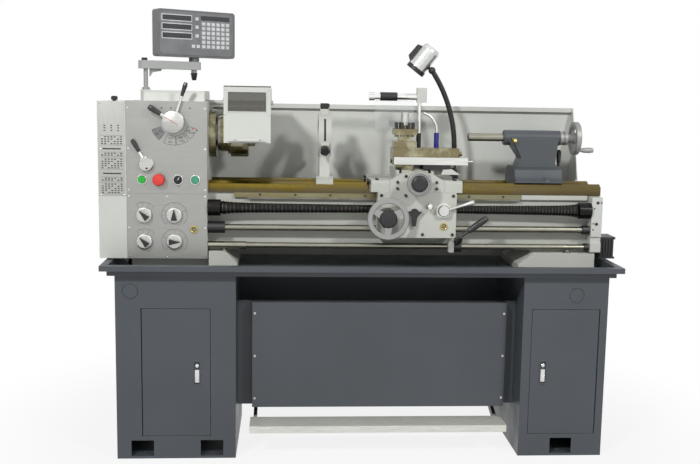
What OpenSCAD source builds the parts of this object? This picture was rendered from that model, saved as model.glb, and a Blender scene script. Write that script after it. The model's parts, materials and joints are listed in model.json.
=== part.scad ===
// Screw-cutting lathe on a sheet-metal stand.
// X runs along the spindle to the tailstock, Y to the back, Z up from the floor.
// X = 0 is the middle of the chip tray and Y = 0 is the spindle axis.

/* [Stand] */
// Length of the chip tray
tray_len = 1740; // [1700:5:1800]
// Depth of the chip tray, front to back
tray_depth = 540; // [520:5:600]
// Height of the tray rim above the cabinets
rim_h = 36; // [30:1:40]
// Height of the cabinets
cab_h = 632; // [580:2:680]
// Depth of the cabinets, front to back
cab_depth = 450; // [430:5:470]
// Width of the cabinet under the headstock
left_cab_w = 397; // [385:1:410]
// Width of the cabinet under the tailstock
right_cab_w = 292; // [280:1:310]
// Thickness of the folded sheet
sheet = 2.5; // [2:0.5:4]
// Height of the plinth below the cabinet deck
plinth_h = 68; // [60:1:76]
// Radius of the floor anchor holes
anchor_r = 7; // [5:0.5:9]
// Thickness of a cabinet door
door_t = 10; // [8:1:14]
// Depth of the brake tread
tread_depth = 100; // [80:5:120]

/* [Bed and headstock] */
// Height of the bed casting
bed_h = 220; // [200:2:240]
// Height of the feet between tray and bed
foot_h = 70; // [62:1:80]
// Height of the spindle axis above the bed
centre_h = 165; // [155:1:175]
// Length of the headstock
head_len = 267; // [255:1:275]
// Height of the headstock above the bed
head_h = 275; // [265:1:285]
// Width of the end cover
cover_w = 93; // [85:1:105]
// Radius of the bore through the spindle
spindle_bore_r = 19; // [13:0.5:22]
// Radius of the spindle in its bearings
spindle_r = 40; // [36:1:46]
// Radius of the chuck
chuck_r = 80; // [65:1:84]
// Module of the change gears
gear_m = 1.5; // [1.4:0.05:1.5]
// Thickness of the change gears
gear_w = 16; // [12:1:18]
// Radius of the headstock pulley
drive_pulley_r = 58; // [50:1:60]
// Radius of the motor pulley
motor_pulley_r = 35; // [28:1:45]
// Radius of the motor
motor_r = 80; // [70:1:88]

/* [Rods] */
// Radius of the lead screw
lead_r = 11; // [9:0.5:12]
// Radius of the feed rod
feed_r = 11; // [8:0.5:13]
// Radius of the control rod
control_r = 10; // [8:0.5:11]

/* [Carriage] */
// Middle of the carriage along the bed
carriage_x = 174; // [150:1:200]
// Width of the saddle
saddle_w = 310; // [290:1:330]
// Width of the apron
apron_w = 268; // [255:1:280]
// Height of the apron
apron_h = 154; // [145:1:158]
// Radius of the carriage handwheel
carriage_wheel_r = 69; // [60:1:75]
// Radius of the cross-slide handwheel
cross_wheel_r = 41; // [36:1:46]
// Width of the square tool post
tool_post_w = 78; // [70:1:84]
// Height of the tool slot
tool_slot_h = 22; // [16:1:26]
// Radius of the lamp head
lamp_r = 34; // [28:1:38]

/* [Tailstock] */
// Middle of the tailstock along the bed
tail_x = 613; // [600:1:640]
// Length of the tailstock base
tail_w = 167; // [150:1:180]
// Radius of the quill
quill_r = 14; // [12:0.5:16]
// Length of quill that stands out
quill_out = 126; // [60:2:140]
// Radius of the tailstock handwheel
tail_wheel_r = 58; // [50:1:64]

/* [Controls] */
// Radius of the gearbox knobs
knob_r = 27; // [22:1:30]
// Radius of the push buttons
button_r = 13; // [10:0.5:15]

/* [Fits] */
// Radial clearance of a running shaft
run = 0.05; // [0.02:0.01:0.1]
// Clearance of sliding pieces
slide = 0.3; // [0.2:0.05:0.5]

/* [Hidden] */
$fn = 64;

// Colours
slate = [0.27, 0.30, 0.33];
pale = [0.78, 0.79, 0.77];
alu = [0.72, 0.72, 0.72];
steel = [0.66, 0.66, 0.65];
waxed = [0.45, 0.40, 0.22];
black = [0.07, 0.07, 0.07];
clear = [0.75, 0.80, 0.82, 0.4];
green = [0.10, 0.55, 0.35];
red = [0.75, 0.10, 0.08];

// Stand
tray_x = [-tray_len / 2, tray_len / 2];
tray_y = [-tray_depth / 2, tray_depth / 2];
tray_t = 3;
tray_floor = cab_h + tray_t;
rim_top = cab_h + rim_h;
rim_w = 24;
rim_lip = 18;
left_cab_x = [tray_x[0] + 42, tray_x[0] + 42 + left_cab_w];
right_cab_x = [tray_x[1] - 37 - right_cab_w, tray_x[1] - 37];
cab_y = [-cab_depth / 2, cab_depth / 2];
base_t = 8;
anchor_in = 40;
left_anchor_x = [left_cab_x[0] + 85, left_cab_x[1] - 80];
right_anchor_x = [(right_cab_x[0] + right_cab_x[1]) / 2 + 3];
pocket_w = 76;
door_z = [plinth_h + 12, cab_h - 115];
left_door_x = [left_cab_x[0] + 85, left_cab_x[1] - 85];
right_door_x = [right_cab_x[0] + 32, right_cab_x[1] - 27];
door_gap = 1.5;
hinge_pin_r = 3;
pedal_y = 20;
pedal_z = plinth_h + 72;
pedal_shaft_r = 10;
tread_y = [-cab_depth / 2 - 5, -cab_depth / 2 - 5 + tread_depth];
tread_z = 112;
pedal_x = [left_cab_x[1] + 46, right_cab_x[0] - 44];

// Bed: the flat ways lie at bed_top
bed_bottom = tray_floor + foot_h;
bed_top = bed_bottom + bed_h;
axis_z = bed_top + centre_h;
head_x = [tray_x[0] + 72, tray_x[0] + 72 + head_len];
bed_x = [head_x[0] + 6, tray_x[1] - 41];
way_y = 95;
wall_y = 88;
wall_t = 22;
vee_y = -78;
vee_w = 10;
vee_h = 9;
rear_vee_y = 62;
rear_vee_w = 8;
way_drop = 30;
foot_ledge = foot_h - 8;
foot_y = 135;
left_foot_x = [head_x[1] + 4, head_x[1] + 100];
right_foot_x = [bed_x[1] - 290, bed_x[1] - 23];

// Headstock and gearbox
head_front = 138;
head_back = 140;
head_top = bed_top + head_h;
split_z = bed_top - 33;
gearbox_z = [rim_top + 4, split_z - 0.5];
guard_axis = [20, axis_z + 107];
guard_shaft_r = 8;
bearing_r = chuck_r + 2;
bearing_w = 24;
dro_x = head_x[0] + 48;
dro_post_r = 7.5;
dro_boss_h = 37;
input_y = 65;
input_z = axis_z - 90;
input_r = 15;
motor_y = input_y;
motor_z = plinth_h + 52 + motor_r;
motor_shaft_r = 12;
belt_x = [head_x[0] - 23, head_x[0] - 3];
belt_t = 5;
belt_gap = 0.3;

// Change gears: spindle gear, idler and gearbox gear in one plane
spindle_teeth = 48;
idler_teeth = 127;
box_teeth = 32;
gear_x = [head_x[0] - 36 - gear_w, head_x[0] - 36];
box_shaft = [-101, axis_z - 222];
box_shaft_r = 9;
stud_r = 10;
mesh_gap = 0.15;
tooth_slack = 0.3;
spindle_to_idler = gear_m * (spindle_teeth + idler_teeth) / 2 + mesh_gap;
idler_to_box = gear_m * (idler_teeth + box_teeth) / 2 + mesh_gap;
spindle_to_box = norm([box_shaft[0], box_shaft[1] - axis_z]);
box_dir = [box_shaft[0], box_shaft[1] - axis_z] / spindle_to_box;
idler_along = (spindle_to_idler ^ 2 - idler_to_box ^ 2 + spindle_to_box ^ 2) / (2 * spindle_to_box);
idler_aside = sqrt(spindle_to_idler ^ 2 - idler_along ^ 2);
idler_at = [0, axis_z] + idler_along * box_dir + idler_aside * [-box_dir[1], box_dir[0]];
idler_angle = atan2(idler_at[1] - axis_z, idler_at[0]);
box_angle = atan2(box_shaft[1] - idler_at[1], box_shaft[0] - idler_at[0]);
idler_turn = idler_angle + 180 - 180 / idler_teeth;
idler_pitch = 360 / idler_teeth;
idler_phase = (box_angle - idler_turn) - idler_pitch * floor((box_angle - idler_turn) / idler_pitch);
box_turn = box_angle + 180 + idler_phase * idler_teeth / box_teeth - 180 / box_teeth;

// Rods, all on one vertical plane in front of the bed
rod_y = -120;
lead_z = bed_top - 80;
feed_z = bed_top - 147;
control_z = bed_top - 208;
bracket_x = [bed_x[1] - 41, bed_x[1] - 4];
rod_x = [head_x[1] - 20, bracket_x[1] - 8];
rod_face = 89;

// Carriage
saddle_x = [carriage_x - saddle_w / 2, carriage_x + saddle_w / 2];
saddle_top = bed_top + 21;
saddle_front = -165;
apron_x = [carriage_x + 2 - apron_w / 2, carriage_x + 2 + apron_w / 2];
apron_y = [-170, -104];
apron_z = [bed_top - 18 - apron_h, bed_top - 18];
wheel_at = [carriage_x - 100, bed_top - 103];
nut_at = [carriage_x + 91, bed_top - 78];
feed_at = [carriage_x - 7, bed_top - 87];
lever_x = carriage_x + 141;
cross_w = 130;
cross_y = [-105, 115];
cross_top = bed_top + 53;
dovetail_top = bed_top + 37;
cross_screw_z = bed_top + 17;
compound_at = [carriage_x - 4, -50];
swivel_r = 58;
swivel_top = cross_top + 17;
rail_top = swivel_top + 16;
top_x = [carriage_x - 77, carriage_x + 151];
top_y = [compound_at[1] - 42, compound_at[1] + 42];
top_z = [rail_top + 1, rail_top + 42];
post_at = [carriage_x - 33, compound_at[1]];
post_stud_r = 8;
shield_at = [carriage_x + 28, 35];
tube_z = cross_top + 249;
tube_r = 11;
tap_x = carriage_x + 92;
lamp_at = [carriage_x + 164, 75];

// Tailstock
tail_base_x = [tail_x - tail_w / 2, tail_x + tail_w / 2];
barrel_x = [tail_base_x[0] - 31, tail_base_x[1] + 3];
barrel_r = 27;
clamp_at = [45, bed_top + 35];
clamp_shaft_r = 8;

// Steady rest
steady_x = -135;
steady_w = 43;

// Front controls, as X and Z on the front of headstock and gearbox
speed_at = [head_x[0] + 158, bed_top + 207];
reverse_at = [head_x[0] + 66, bed_top + 66];
button_z = bed_top + 14;
start_x = head_x[0] + 51;
stop_x = head_x[0] + 108;
mode_x = head_x[0] + 170;
coolant_x = head_x[0] + 227;
knob_x = [head_x[0] + 57, head_x[0] + 157];
knob_z = [bed_top - 105, bed_top - 195];
control_shaft_r = 6;
sleeve_r = 14;

// Shared shapes
function inset(p, d) = [p[0] + d, p[1] - d];

module span(x, y, z) {
    translate([x[0], y[0], z[0]]) cube([x[1] - x[0], y[1] - y[0], z[1] - z[0]]);
}

// A round bar along X, Y or Z through the local origin
module bar_x(x, r) {
    translate([x[0], 0, 0]) rotate([0, 90, 0]) cylinder(r = r, h = x[1] - x[0]);
}

module bar_y(y, r) {
    translate([0, y[0], 0]) rotate([-90, 0, 0]) cylinder(r = r, h = y[1] - y[0]);
}

module bar_z(z, r) {
    translate([0, 0, z[0]]) cylinder(r = r, h = z[1] - z[0]);
}

// A flat outline drawn out along X (as Y, Z), along Y (as X, Z) or along Z (as X, Y)
module draw_x(x) {
    translate([x[0], 0, 0]) rotate([90, 0, 90]) linear_extrude(x[1] - x[0]) children();
}

module draw_y(y) {
    translate([0, y[1], 0]) rotate([90, 0, 0]) linear_extrude(y[1] - y[0]) children();
}

module draw_z(z) {
    translate([0, 0, z[0]]) linear_extrude(z[1] - z[0]) children();
}

// A turned piece: outline points are radius and distance along +X, or towards the operator
module turn_x(outline) {
    rotate([0, 90, 0]) rotate_extrude() polygon(outline);
}

module turn_front(outline) {
    rotate([90, 0, 0]) rotate_extrude() polygon(outline);
}

module round_rect(w, h, r) {
    square([w - 2 * r, h], center = true);
    square([w, h - 2 * r], center = true);
    for (sx = [-1, 1], sy = [-1, 1]) translate([sx * (w / 2 - r), sy * (h / 2 - r)]) circle(r);
}

// A spur gear in the Y, Z plane, one tooth centred on the local Y axis
module gear_outline(teeth) {
    pitch_r = gear_m * teeth / 2;
    half = (PI * gear_m / 2 - tooth_slack) / 2;
    lean = tan(20);
    tip_r = pitch_r + gear_m;
    root_r = pitch_r - 1.25 * gear_m;
    tip_a = (half - gear_m * lean) / tip_r * 180 / PI;
    root_a = (half + 1.25 * gear_m * lean) / root_r * 180 / PI;
    polygon([
        for (i = [0 : teeth - 1])
            let (a = i * 360 / teeth)
                each [
                    root_r * [cos(a - root_a), sin(a - root_a)], tip_r * [cos(a - tip_a), sin(a - tip_a)],
                    tip_r * [cos(a + tip_a), sin(a + tip_a)], root_r * [cos(a + root_a), sin(a + root_a)]
                ]
    ]);
}

module gear(teeth, turn) {
    draw_x(gear_x) rotate(turn) gear_outline(teeth);
}

// The stand
module cabinet(x, door_x, anchors, inner_side) {
    room = inset(x, sheet);
    room_y = inset(cab_y, sheet);
    doorway = [door_x[0] - door_gap, door_x[1] + door_gap];
    doorway_z = [door_z[0] - door_gap, door_z[1] + door_gap];
    difference() {
        union() {
            difference() {
                span(x, cab_y, [0, cab_h]);
                span(room, room_y, [plinth_h, cab_h - sheet]);
                span(room, room_y, [base_t, plinth_h - sheet]);
            }
            span(inset(doorway, -sheet), [cab_y[0], cab_y[0] + door_t + 4], inset(doorway_z, -sheet));
        }
        span(doorway, [cab_y[0] - 1, cab_y[0] + door_t + 5], doorway_z);
        for (ax = anchors) {
            span([ax - pocket_w / 2, ax + pocket_w / 2], inset(cab_y, -1), [base_t, plinth_h - sheet - 2]);
            for (s = [-1, 1]) translate([ax, s * (cab_depth / 2 - anchor_in), 0])
                bar_z([-1, base_t + 1], anchor_r);
        }
        translate([inner_side, pedal_y, pedal_z]) bar_x([-sheet - 1, sheet + 1], pedal_shaft_r + run);
    }
}

module hinge_hole(x) {
    translate([x, cab_y[0] + door_t / 2, 0])
        bar_z([door_z[0] - door_gap - sheet - 1, door_z[1] + door_gap + sheet + 1], hinge_pin_r + run);
}

module left_cabinet() {
    color(slate) difference() {
        cabinet(left_cab_x, left_door_x, left_anchor_x, left_cab_x[1]);
        hinge_hole(left_door_x[0] + door_t / 2);
        belt_slot([cab_h - sheet - 1, cab_h + 1]);
    }
}

module right_cabinet() {
    color(slate) difference() {
        cabinet(right_cab_x, right_door_x, right_anchor_x, right_cab_x[0]);
        hinge_hole(right_door_x[1] - door_t / 2);
    }
}

// Where the belt passes from the cabinet up into the end cover
module belt_slot(z) {
    reach = max(drive_pulley_r, motor_pulley_r) + belt_t + 6;
    span(inset(belt_x, -1.5), [input_y - reach, input_y + reach], z);
}

// A folded door pan that turns on two pins; hinge and free are its two edges along X
module door(hinge, free) {
    side = sign(free - hinge);
    pin_x = hinge + side * door_t / 2;
    edges = [min(pin_x, free), max(pin_x, free)];
    pan = [min(hinge + side * 14, free - side * sheet), max(hinge + side * 14, free - side * sheet)];
    latch_x = free - side * 44;
    latch_z = (door_z[0] + door_z[1]) / 2;
    difference() {
        union() {
            span(edges, [cab_y[0], cab_y[0] + door_t], door_z);
            translate([pin_x, cab_y[0] + door_t / 2, 0]) {
                bar_z(door_z, door_t / 2);
                bar_z([door_z[0] - door_gap - sheet, door_z[1] + door_gap + sheet], hinge_pin_r);
            }
            translate([latch_x, 0, latch_z]) draw_y([cab_y[0] - 2, cab_y[0]]) round_rect(26, 86, 4);
        }
        difference() {
            span(pan, [cab_y[0] + sheet, cab_y[0] + door_t + 1], inset(door_z, sheet));
            translate([latch_x, 0, latch_z]) draw_y([cab_y[0], cab_y[0] + door_t])
                square([30, 90], center = true);
        }
        translate([latch_x, 0, latch_z]) draw_y([cab_y[0] - 3, cab_y[0] + 5]) round_rect(18, 76, 3);
        span([latch_x - 5, latch_x + 5], [cab_y[0] - 3, cab_y[0] + 8], [latch_z - 30, latch_z]);
    }
}

module left_door() {
    color(slate) door(left_door_x[0], left_door_x[1]);
}

module right_door() {
    color(slate) door(right_door_x[1], right_door_x[0]);
}

// Knee panel folded out to both cabinets, and the plain back sheet
module stand_panels() {
    side_x = [left_cab_x[1], right_cab_x[0]];
    face_x = [side_x[0] + 52, side_x[1] - 40];
    face_y = [-150, -150 + sheet];
    fold_y = face_y[0] + 40;
    face_z = [plinth_h + 86, cab_h - 108];
    color(slate) {
        span(face_x, face_y, face_z);
        span([face_x[0], face_x[0] + sheet], [face_y[0], fold_y], face_z);
        span([face_x[1] - sheet, face_x[1]], [face_y[0], fold_y], face_z);
        span([side_x[0], face_x[0] + sheet], [fold_y - sheet, fold_y], face_z);
        span([face_x[1] - sheet, side_x[1]], [fold_y - sheet, fold_y], face_z);
        span(face_x, [face_y[0], fold_y], [face_z[1] - sheet, face_z[1]]);
        span(face_x, [face_y[0], fold_y], [face_z[0], face_z[0] + sheet]);
        span(side_x, [cab_y[1] - 35, cab_y[1] - 35 + sheet], [plinth_h + 10, cab_h - 22]);
    }
}

module chip_tray() {
    inner_x = inset(tray_x, rim_w);
    inner_y = inset(tray_y, rim_w);
    color(slate) difference() {
        union() {
            span(inset(inner_x, -tray_t), inset(inner_y, -tray_t), [cab_h, rim_top]);
            span(tray_x, tray_y, [rim_top - tray_t, rim_top]);
            difference() {
                span(tray_x, tray_y, [rim_top - rim_lip, rim_top]);
                span(inset(tray_x, tray_t), inset(tray_y, tray_t), [rim_top - rim_lip - 1, rim_top - tray_t]);
            }
        }
        span(inner_x, inner_y, [tray_floor, rim_top + 1]);
        belt_slot([cab_h - 1, tray_floor + 1]);
    }
}

// Tread on two arms that turn with a cross shaft between the cabinets
module brake_pedal() {
    arm_x = [pedal_x[0] + 10, pedal_x[1] - 22];
    color(alu) {
        span(pedal_x, tread_y, [tread_z - sheet, tread_z]);
        span(pedal_x, [tread_y[0], tread_y[0] + sheet], [tread_z - 24, tread_z]);
        span(pedal_x, [tread_y[1] - sheet, tread_y[1]], [tread_z - 16, tread_z]);
    }
    color(slate) {
        for (x = arm_x) {
            draw_x([x, x + 12]) difference() {
                union() {
                    polygon([
                        [tread_y[0] + sheet, tread_z - sheet], [tread_y[1] + 30, tread_z - sheet],
                        [pedal_y, pedal_z + 15], [pedal_y, pedal_z - 15],
                        [tread_y[1] + 20, tread_z - 30], [tread_y[0] + sheet, tread_z - 18]
                    ]);
                    translate([pedal_y, pedal_z]) circle(18);
                }
                translate([pedal_y, pedal_z]) circle(pedal_shaft_r - 1);
            }
        }
        translate([0, pedal_y, pedal_z])
            bar_x([left_cab_x[1] - sheet, right_cab_x[0] + sheet], pedal_shaft_r);
    }
}

// The bed: two walls with ways on top, cross ribs, and feet on the tray
module way_outline() {
    polygon([
        [-way_y, -way_drop], [-way_y, 0], [-50, 0], [-50, -22], [-wall_y + wall_t, -40], [-wall_y, -40],
        [-wall_y, -way_drop]
    ]);
    polygon([
        [way_y, -way_drop], [way_y, 0], [46, 0], [46, -22], [wall_y - wall_t, -40], [wall_y, -40],
        [wall_y, -way_drop]
    ]);
    for (s = [-1, 1]) {
        translate([s * (wall_y - wall_t / 2), -bed_h / 2 - 19]) square([wall_t, bed_h - 38], center = true);
        translate([s * (wall_y - 23), -bed_h + 8]) square([46, 16], center = true);
    }
}

module vee_outline() {
    polygon([[vee_y - vee_w, 0], [vee_y, vee_h], [vee_y + vee_w, 0]]);
    polygon([[rear_vee_y - rear_vee_w, 0], [rear_vee_y, rear_vee_w], [rear_vee_y + rear_vee_w, 0]]);
}

module bed() {
    rib_gap = (bed_x[1] - bed_x[0] - 14) / 7;
    gap_seam = head_x[1] + 84;
    rack_z = bed_top - way_drop;
    color(pale) {
        difference() {
            union() {
                translate([0, 0, bed_top]) draw_x(bed_x) way_outline();
                translate([0, 0, bed_top]) draw_x([head_x[1], bed_x[1]]) vee_outline();
                for (i = [0 : 7])
                    span(
                        [bed_x[0] + i * rib_gap, bed_x[0] + i * rib_gap + 14],
                        [-wall_y + wall_t - 2, wall_y - wall_t + 2], [bed_bottom + 12, bed_top - 26]
                    );
                span([bed_x[0], left_foot_x[1] - 30], [-wall_y, wall_y], [tray_floor, bed_bottom + 2]);
                span([right_foot_x[0] + 50, right_foot_x[1]], [-wall_y, wall_y],
                    [tray_floor, bed_bottom + 2]);
                draw_y([-foot_y, foot_y]) {
                    polygon([
                        [left_foot_x[0], tray_floor], [left_foot_x[1], tray_floor],
                        [left_foot_x[1], tray_floor + 22],
                        [left_foot_x[1] - 40, tray_floor + foot_ledge],
                        [left_foot_x[0], tray_floor + foot_ledge]
                    ]);
                    polygon([
                        [right_foot_x[0], tray_floor], [right_foot_x[1], tray_floor],
                        [right_foot_x[1], tray_floor + foot_ledge],
                        [right_foot_x[0] + 52, tray_floor + foot_ledge],
                        [right_foot_x[0], tray_floor + 22]
                    ]);
                }
            }
            span([gap_seam, gap_seam + 1], [-way_y - 1, -way_y + 2], [bed_top - way_drop - 1, bed_top + 1]);
        }
        span([gap_seam + 4, bracket_x[0] - 6], [-wall_y - 11, -wall_y], [rack_z - 16, rack_z]);
    }
}

module rod_bracket() {
    color(pale) difference() {
        span(bracket_x, [-head_front, -wall_y], [control_z - 15, bed_top - way_drop - 2]);
        span([bracket_x[0] - 1, bracket_x[1] + 1], [-head_front - 1, -head_front + 6],
            [control_z + 18, feed_z - 22]);
        for (z = [lead_z, feed_z, control_z])
            translate([0, rod_y, z]) bar_x([bracket_x[0] - 1, rod_x[1] + 2], rod_hole(z));
    }
}

// Radius of the hole for the rod at a height
function rod_hole(z) = run + (z == lead_z ? lead_r : z == feed_z ? feed_r : control_r);

// Ribbed box on the tailstock end of the bed
module junction_box() {
    box_x = [bed_x[1], bed_x[1] + 56];
    box_y = [-112, -24];
    box_z = [rim_top + 8, rim_top + 84];
    color(black) {
        span([box_x[0], box_x[1] - 4], inset(box_y, 4), box_z);
        span(box_x, box_y, [box_z[1] - 8, box_z[1]]);
        span(box_x, box_y, [box_z[0], box_z[0] + 6]);
        for (i = [0 : 4]) span([box_x[0] + 4 + i * 10, box_x[0] + 8 + i * 10], box_y, box_z);
    }
}

// Back sheet of the tray with a folded top edge and a sloped wing at the tailstock end
module splash_guard() {
    guard_x = [head_x[1] - 14, bed_x[1] - 32];
    guard_y = [190, 190 + sheet];
    top = head_top - 5;
    color(pale) {
        span(guard_x, guard_y, [tray_floor, top]);
        span(guard_x, [guard_y[0] - 14, guard_y[1]], [top - sheet, top]);
        span(guard_x, [guard_y[0] - 14, guard_y[0] - 14 + sheet], [top - 16, top]);
        draw_x([guard_x[1] - sheet, guard_x[1]]) polygon([
            [guard_y[1], tray_floor], [foot_y + 1, tray_floor], [foot_y + 1, bed_bottom + 1],
            [way_y + 8, bed_bottom + 1],
            [way_y + 8, bed_top + 8], [way_y - 23, bed_top + 8],
            [guard_y[0] - 20, top], [guard_y[1], top]
        ]);
    }
}

// The headstock casting, with bores for everything that turns in it
module headstock() {
    ear_z = [bed_top + 10, bed_top + 190];
    color(pale) difference() {
        union() {
            translate([0, 0, bed_top]) draw_x(head_x) polygon([
                [-head_front, -33], [-way_y - 0.5, -33], [-way_y - 0.5, 0], [head_back, 0],
                [head_back, head_h - 12],
                [head_back - 12, head_h], [-head_front, head_h]
            ]);
            translate([0, 0, head_top]) draw_x([head_x[0] + 55, head_x[1] - 11])
                polygon([[-104, 0], [-94, 26], [-84, 35], [106, 35], [118, 26], [126, 0]]);
            translate([0, 0, axis_z]) bar_x([head_x[1], head_x[1] + bearing_w], bearing_r);
            translate([dro_x, 0, 0]) bar_z([head_top, head_top + dro_boss_h], 18);
            translate([0, idler_at[0], idler_at[1]]) {
                bar_x([gear_x[0] - 4, head_x[0]], stud_r);
                bar_x([gear_x[1] + 0.5, head_x[0]], stud_r + 5);
            }
            for (z = ear_z) hinge_ear(z);
        }
        translate([0, 0, axis_z]) bar_x([head_x[0] - 1, head_x[1] + bearing_w + 1], spindle_r + run);
        translate([0, input_y, input_z]) bar_x([head_x[0] - 1, head_x[0] + 62], input_r + run);
        translate([0, guard_axis[0], guard_axis[1]])
            bar_x([head_x[1] - 42, head_x[1] + 1], guard_shaft_r + run);
        translate([dro_x, 0, 0]) bar_z([head_top - 40, head_top + dro_boss_h + 1], dro_post_r + run);
        translate([speed_at[0], 0, speed_at[1]]) front_bore(sleeve_r + run, 34);
        translate([reverse_at[0], 0, reverse_at[1]]) front_bore(control_shaft_r + run, 30);
        translate([mode_x, 0, button_z]) front_bore(control_shaft_r + run, 30);
        for (x = [start_x, coolant_x]) translate([x, 0, button_z]) front_bore(button_r + slide, 24);
        translate([stop_x, 0, button_z]) front_bore(button_r + slide, 24);
    }
}

// A blind hole from the front face, centred on the local Y axis
module front_bore(r, depth) {
    bar_y([-head_front - 1, -head_front + depth], r);
}

cover_axis = [head_x[0], head_back + 8];
cover_pin_r = 4;
knuckle_r = 7;
knuckle_h = 25;

// Ear with a standing pin for the end cover
module hinge_ear(z) {
    span([head_x[0] + 0.5, head_x[0] + 14], [head_back - 1, cover_axis[1]], [z, z + knuckle_h]);
    translate([cover_axis[0], cover_axis[1], 0]) {
        bar_z([z, z + knuckle_h], knuckle_r);
        bar_z([z, z + 2 * knuckle_h], cover_pin_r);
    }
}

module gearbox() {
    color(alu) difference() {
        span(head_x, [-head_front, -wall_y], gearbox_z);
        for (x = knob_x, z = knob_z) translate([x, 0, z]) front_bore(control_shaft_r + run, 24);
        translate([0, box_shaft[0], box_shaft[1]]) bar_x([head_x[0] - 1, head_x[0] + 42], box_shaft_r + run);
        for (z = [lead_z, feed_z, control_z])
            translate([0, rod_y, z]) bar_x([rod_x[0] - 2, head_x[1] + 1], rod_hole(z));
    }
}

// Finned motor on two rails on the cabinet deck
module motor() {
    body_x = [head_x[0] + 34, head_x[0] + 234];
    fins = 30;
    fin_h = 7;
    color(slate) {
        translate([0, motor_y, motor_z]) {
            draw_x(body_x) polygon([
                for (i = [0 : fins - 1])
                    let (a = i * 360 / fins)
                        each [
                            (motor_r - fin_h) * [cos(a - 4), sin(a - 4)],
                                motor_r * [cos(a - 1.8), sin(a - 1.8)],
                            motor_r * [cos(a + 1.8), sin(a + 1.8)],
                                (motor_r - fin_h) * [cos(a + 4), sin(a + 4)]
                        ]
            ]);
            turn_x([
                [motor_shaft_r + run, body_x[0] - 22], [30, body_x[0] - 22], [44, body_x[0] - 14],
                [motor_r - 2, body_x[0] - 6], [motor_r - 12, body_x[0] + 1],
                [motor_shaft_r + run, body_x[0] + 1]
            ]);
            turn_x([
                [0, body_x[1] - 1], [motor_r - 12, body_x[1] - 1], [motor_r - 2, body_x[1] + 6],
                [motor_r - 2, body_x[1] + 26], [motor_r - 14, body_x[1] + 36],
                [0, body_x[1] + 36]
            ]);
            span([body_x[0] + 60, body_x[0] + 140], [-40, 40], [motor_r - 12, motor_r + 34]);
        }
        for (x = [body_x[0] + 24, body_x[1] - 54]) difference() {
            span([x, x + 30], [motor_y - 75, motor_y + 75], [plinth_h, motor_z - 40]);
            translate([0, motor_y, motor_z]) bar_x([x - 1, x + 31], motor_r - fin_h - 3);
        }
    }
}

// Ribbed pulley on a shaft, turned about X
module pulley(r, hub_r, shaft_r, shaft_x) {
    turn_x([
        [0, belt_x[0]], [hub_r, belt_x[0]], [hub_r, belt_x[0] + 5], [r - 8, belt_x[0] + 5],
        [r - 8, belt_x[0]],
        [r, belt_x[0]], [r, belt_x[1]], [r - 8, belt_x[1]], [r - 8, belt_x[1] - 5], [hub_r, belt_x[1] - 5],
        [hub_r, belt_x[1]], [0, belt_x[1]]
    ]);
    bar_x(shaft_x, shaft_r);
}

module motor_pulley() {
    color(steel) translate([0, motor_y, motor_z])
        pulley(motor_pulley_r, 20, motor_shaft_r, [belt_x[0] - 2, head_x[0] + 33]);
}

module drive_pulley() {
    color(steel) translate([0, input_y, input_z])
        pulley(drive_pulley_r, 26, input_r, [belt_x[0] - 2, head_x[0] + 60]);
}

// Flat outline round both pulleys at a distance from them
module belt_loop(off) {
    span_z = input_z - motor_z;
    lean = (drive_pulley_r - motor_pulley_r) / span_z;
    rise = sqrt(1 - lean ^ 2);
    top_r = drive_pulley_r + off;
    low_r = motor_pulley_r + off;
    translate([input_y, input_z]) circle(top_r);
    translate([motor_y, motor_z]) circle(low_r);
    polygon([
        [input_y - top_r * rise, input_z - top_r * lean], [motor_y - low_r * rise, motor_z - low_r * lean],
        [motor_y + low_r * rise, motor_z - low_r * lean], [input_y + top_r * rise, input_z - top_r * lean]
    ]);
}

module drive_belt() {
    color(black) draw_x(inset(belt_x, 1)) difference() {
        belt_loop(belt_gap + belt_t);
        belt_loop(belt_gap);
    }
}

// Hollow end cover over the gears, open towards the headstock and hinged behind
module gear_cover() {
    cover_x = [head_x[0] - cover_w, head_x[0] - 0.5];
    cover_y = [-head_front, head_back];
    cover_z = [rim_top + 4, head_top - 3];
    wall = 3;
    color(pale) {
        difference() {
            span(cover_x, cover_y, cover_z);
            span([cover_x[0] + wall, cover_x[1] + 1], inset(cover_y, wall),
                [cover_z[0] - 1, cover_z[1] - wall]);
            translate([0, 0, axis_z]) bar_x([cover_x[0] - 1, cover_x[0] + wall + 1], spindle_bore_r + 11);
        }
        for (z = [bed_top + 10, bed_top + 190]) difference() {
            union() {
                span(
                    [cover_axis[0] - 14, cover_axis[0] - 0.5], [cover_y[1] - 1, cover_axis[1]],
                    [z + knuckle_h + slide, z + 2 * knuckle_h]
                );
                translate([cover_axis[0], cover_axis[1], 0])
                    bar_z([z + knuckle_h + slide, z + 2 * knuckle_h], knuckle_r);
            }
            translate([cover_axis[0], cover_axis[1], 0]) bar_z([z, z + 2 * knuckle_h + 1], cover_pin_r + run);
        }
    }
    color(black) translate([head_x[0] - 46, -head_front + 60, cover_z[1]])
        rotate_extrude() polygon([[0, 0], [6, 0], [6, 3], [11, 4], [11, 14], [8, 17], [0, 17]]);
}

// Spindle, turned from the tail with its gear to the nose flange
nose_x = head_x[1] + bearing_w + 15;
module spindle() {
    color(steel) translate([0, 0, axis_z]) difference() {
        union() {
            turn_x([
                [0, gear_x[0] - 12], [26, gear_x[0] - 12], [28, gear_x[0] - 10], [28, head_x[0] - 1],
                [spindle_r, head_x[0] - 1], [spindle_r, nose_x - 12], [58, nose_x - 11], [60, nose_x - 9],
                [60, nose_x],
                [0, nose_x]
            ]);
            gear(spindle_teeth, idler_angle);
        }
        bar_x([gear_x[0] - 13, nose_x + 1], spindle_bore_r);
    }
}

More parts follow.
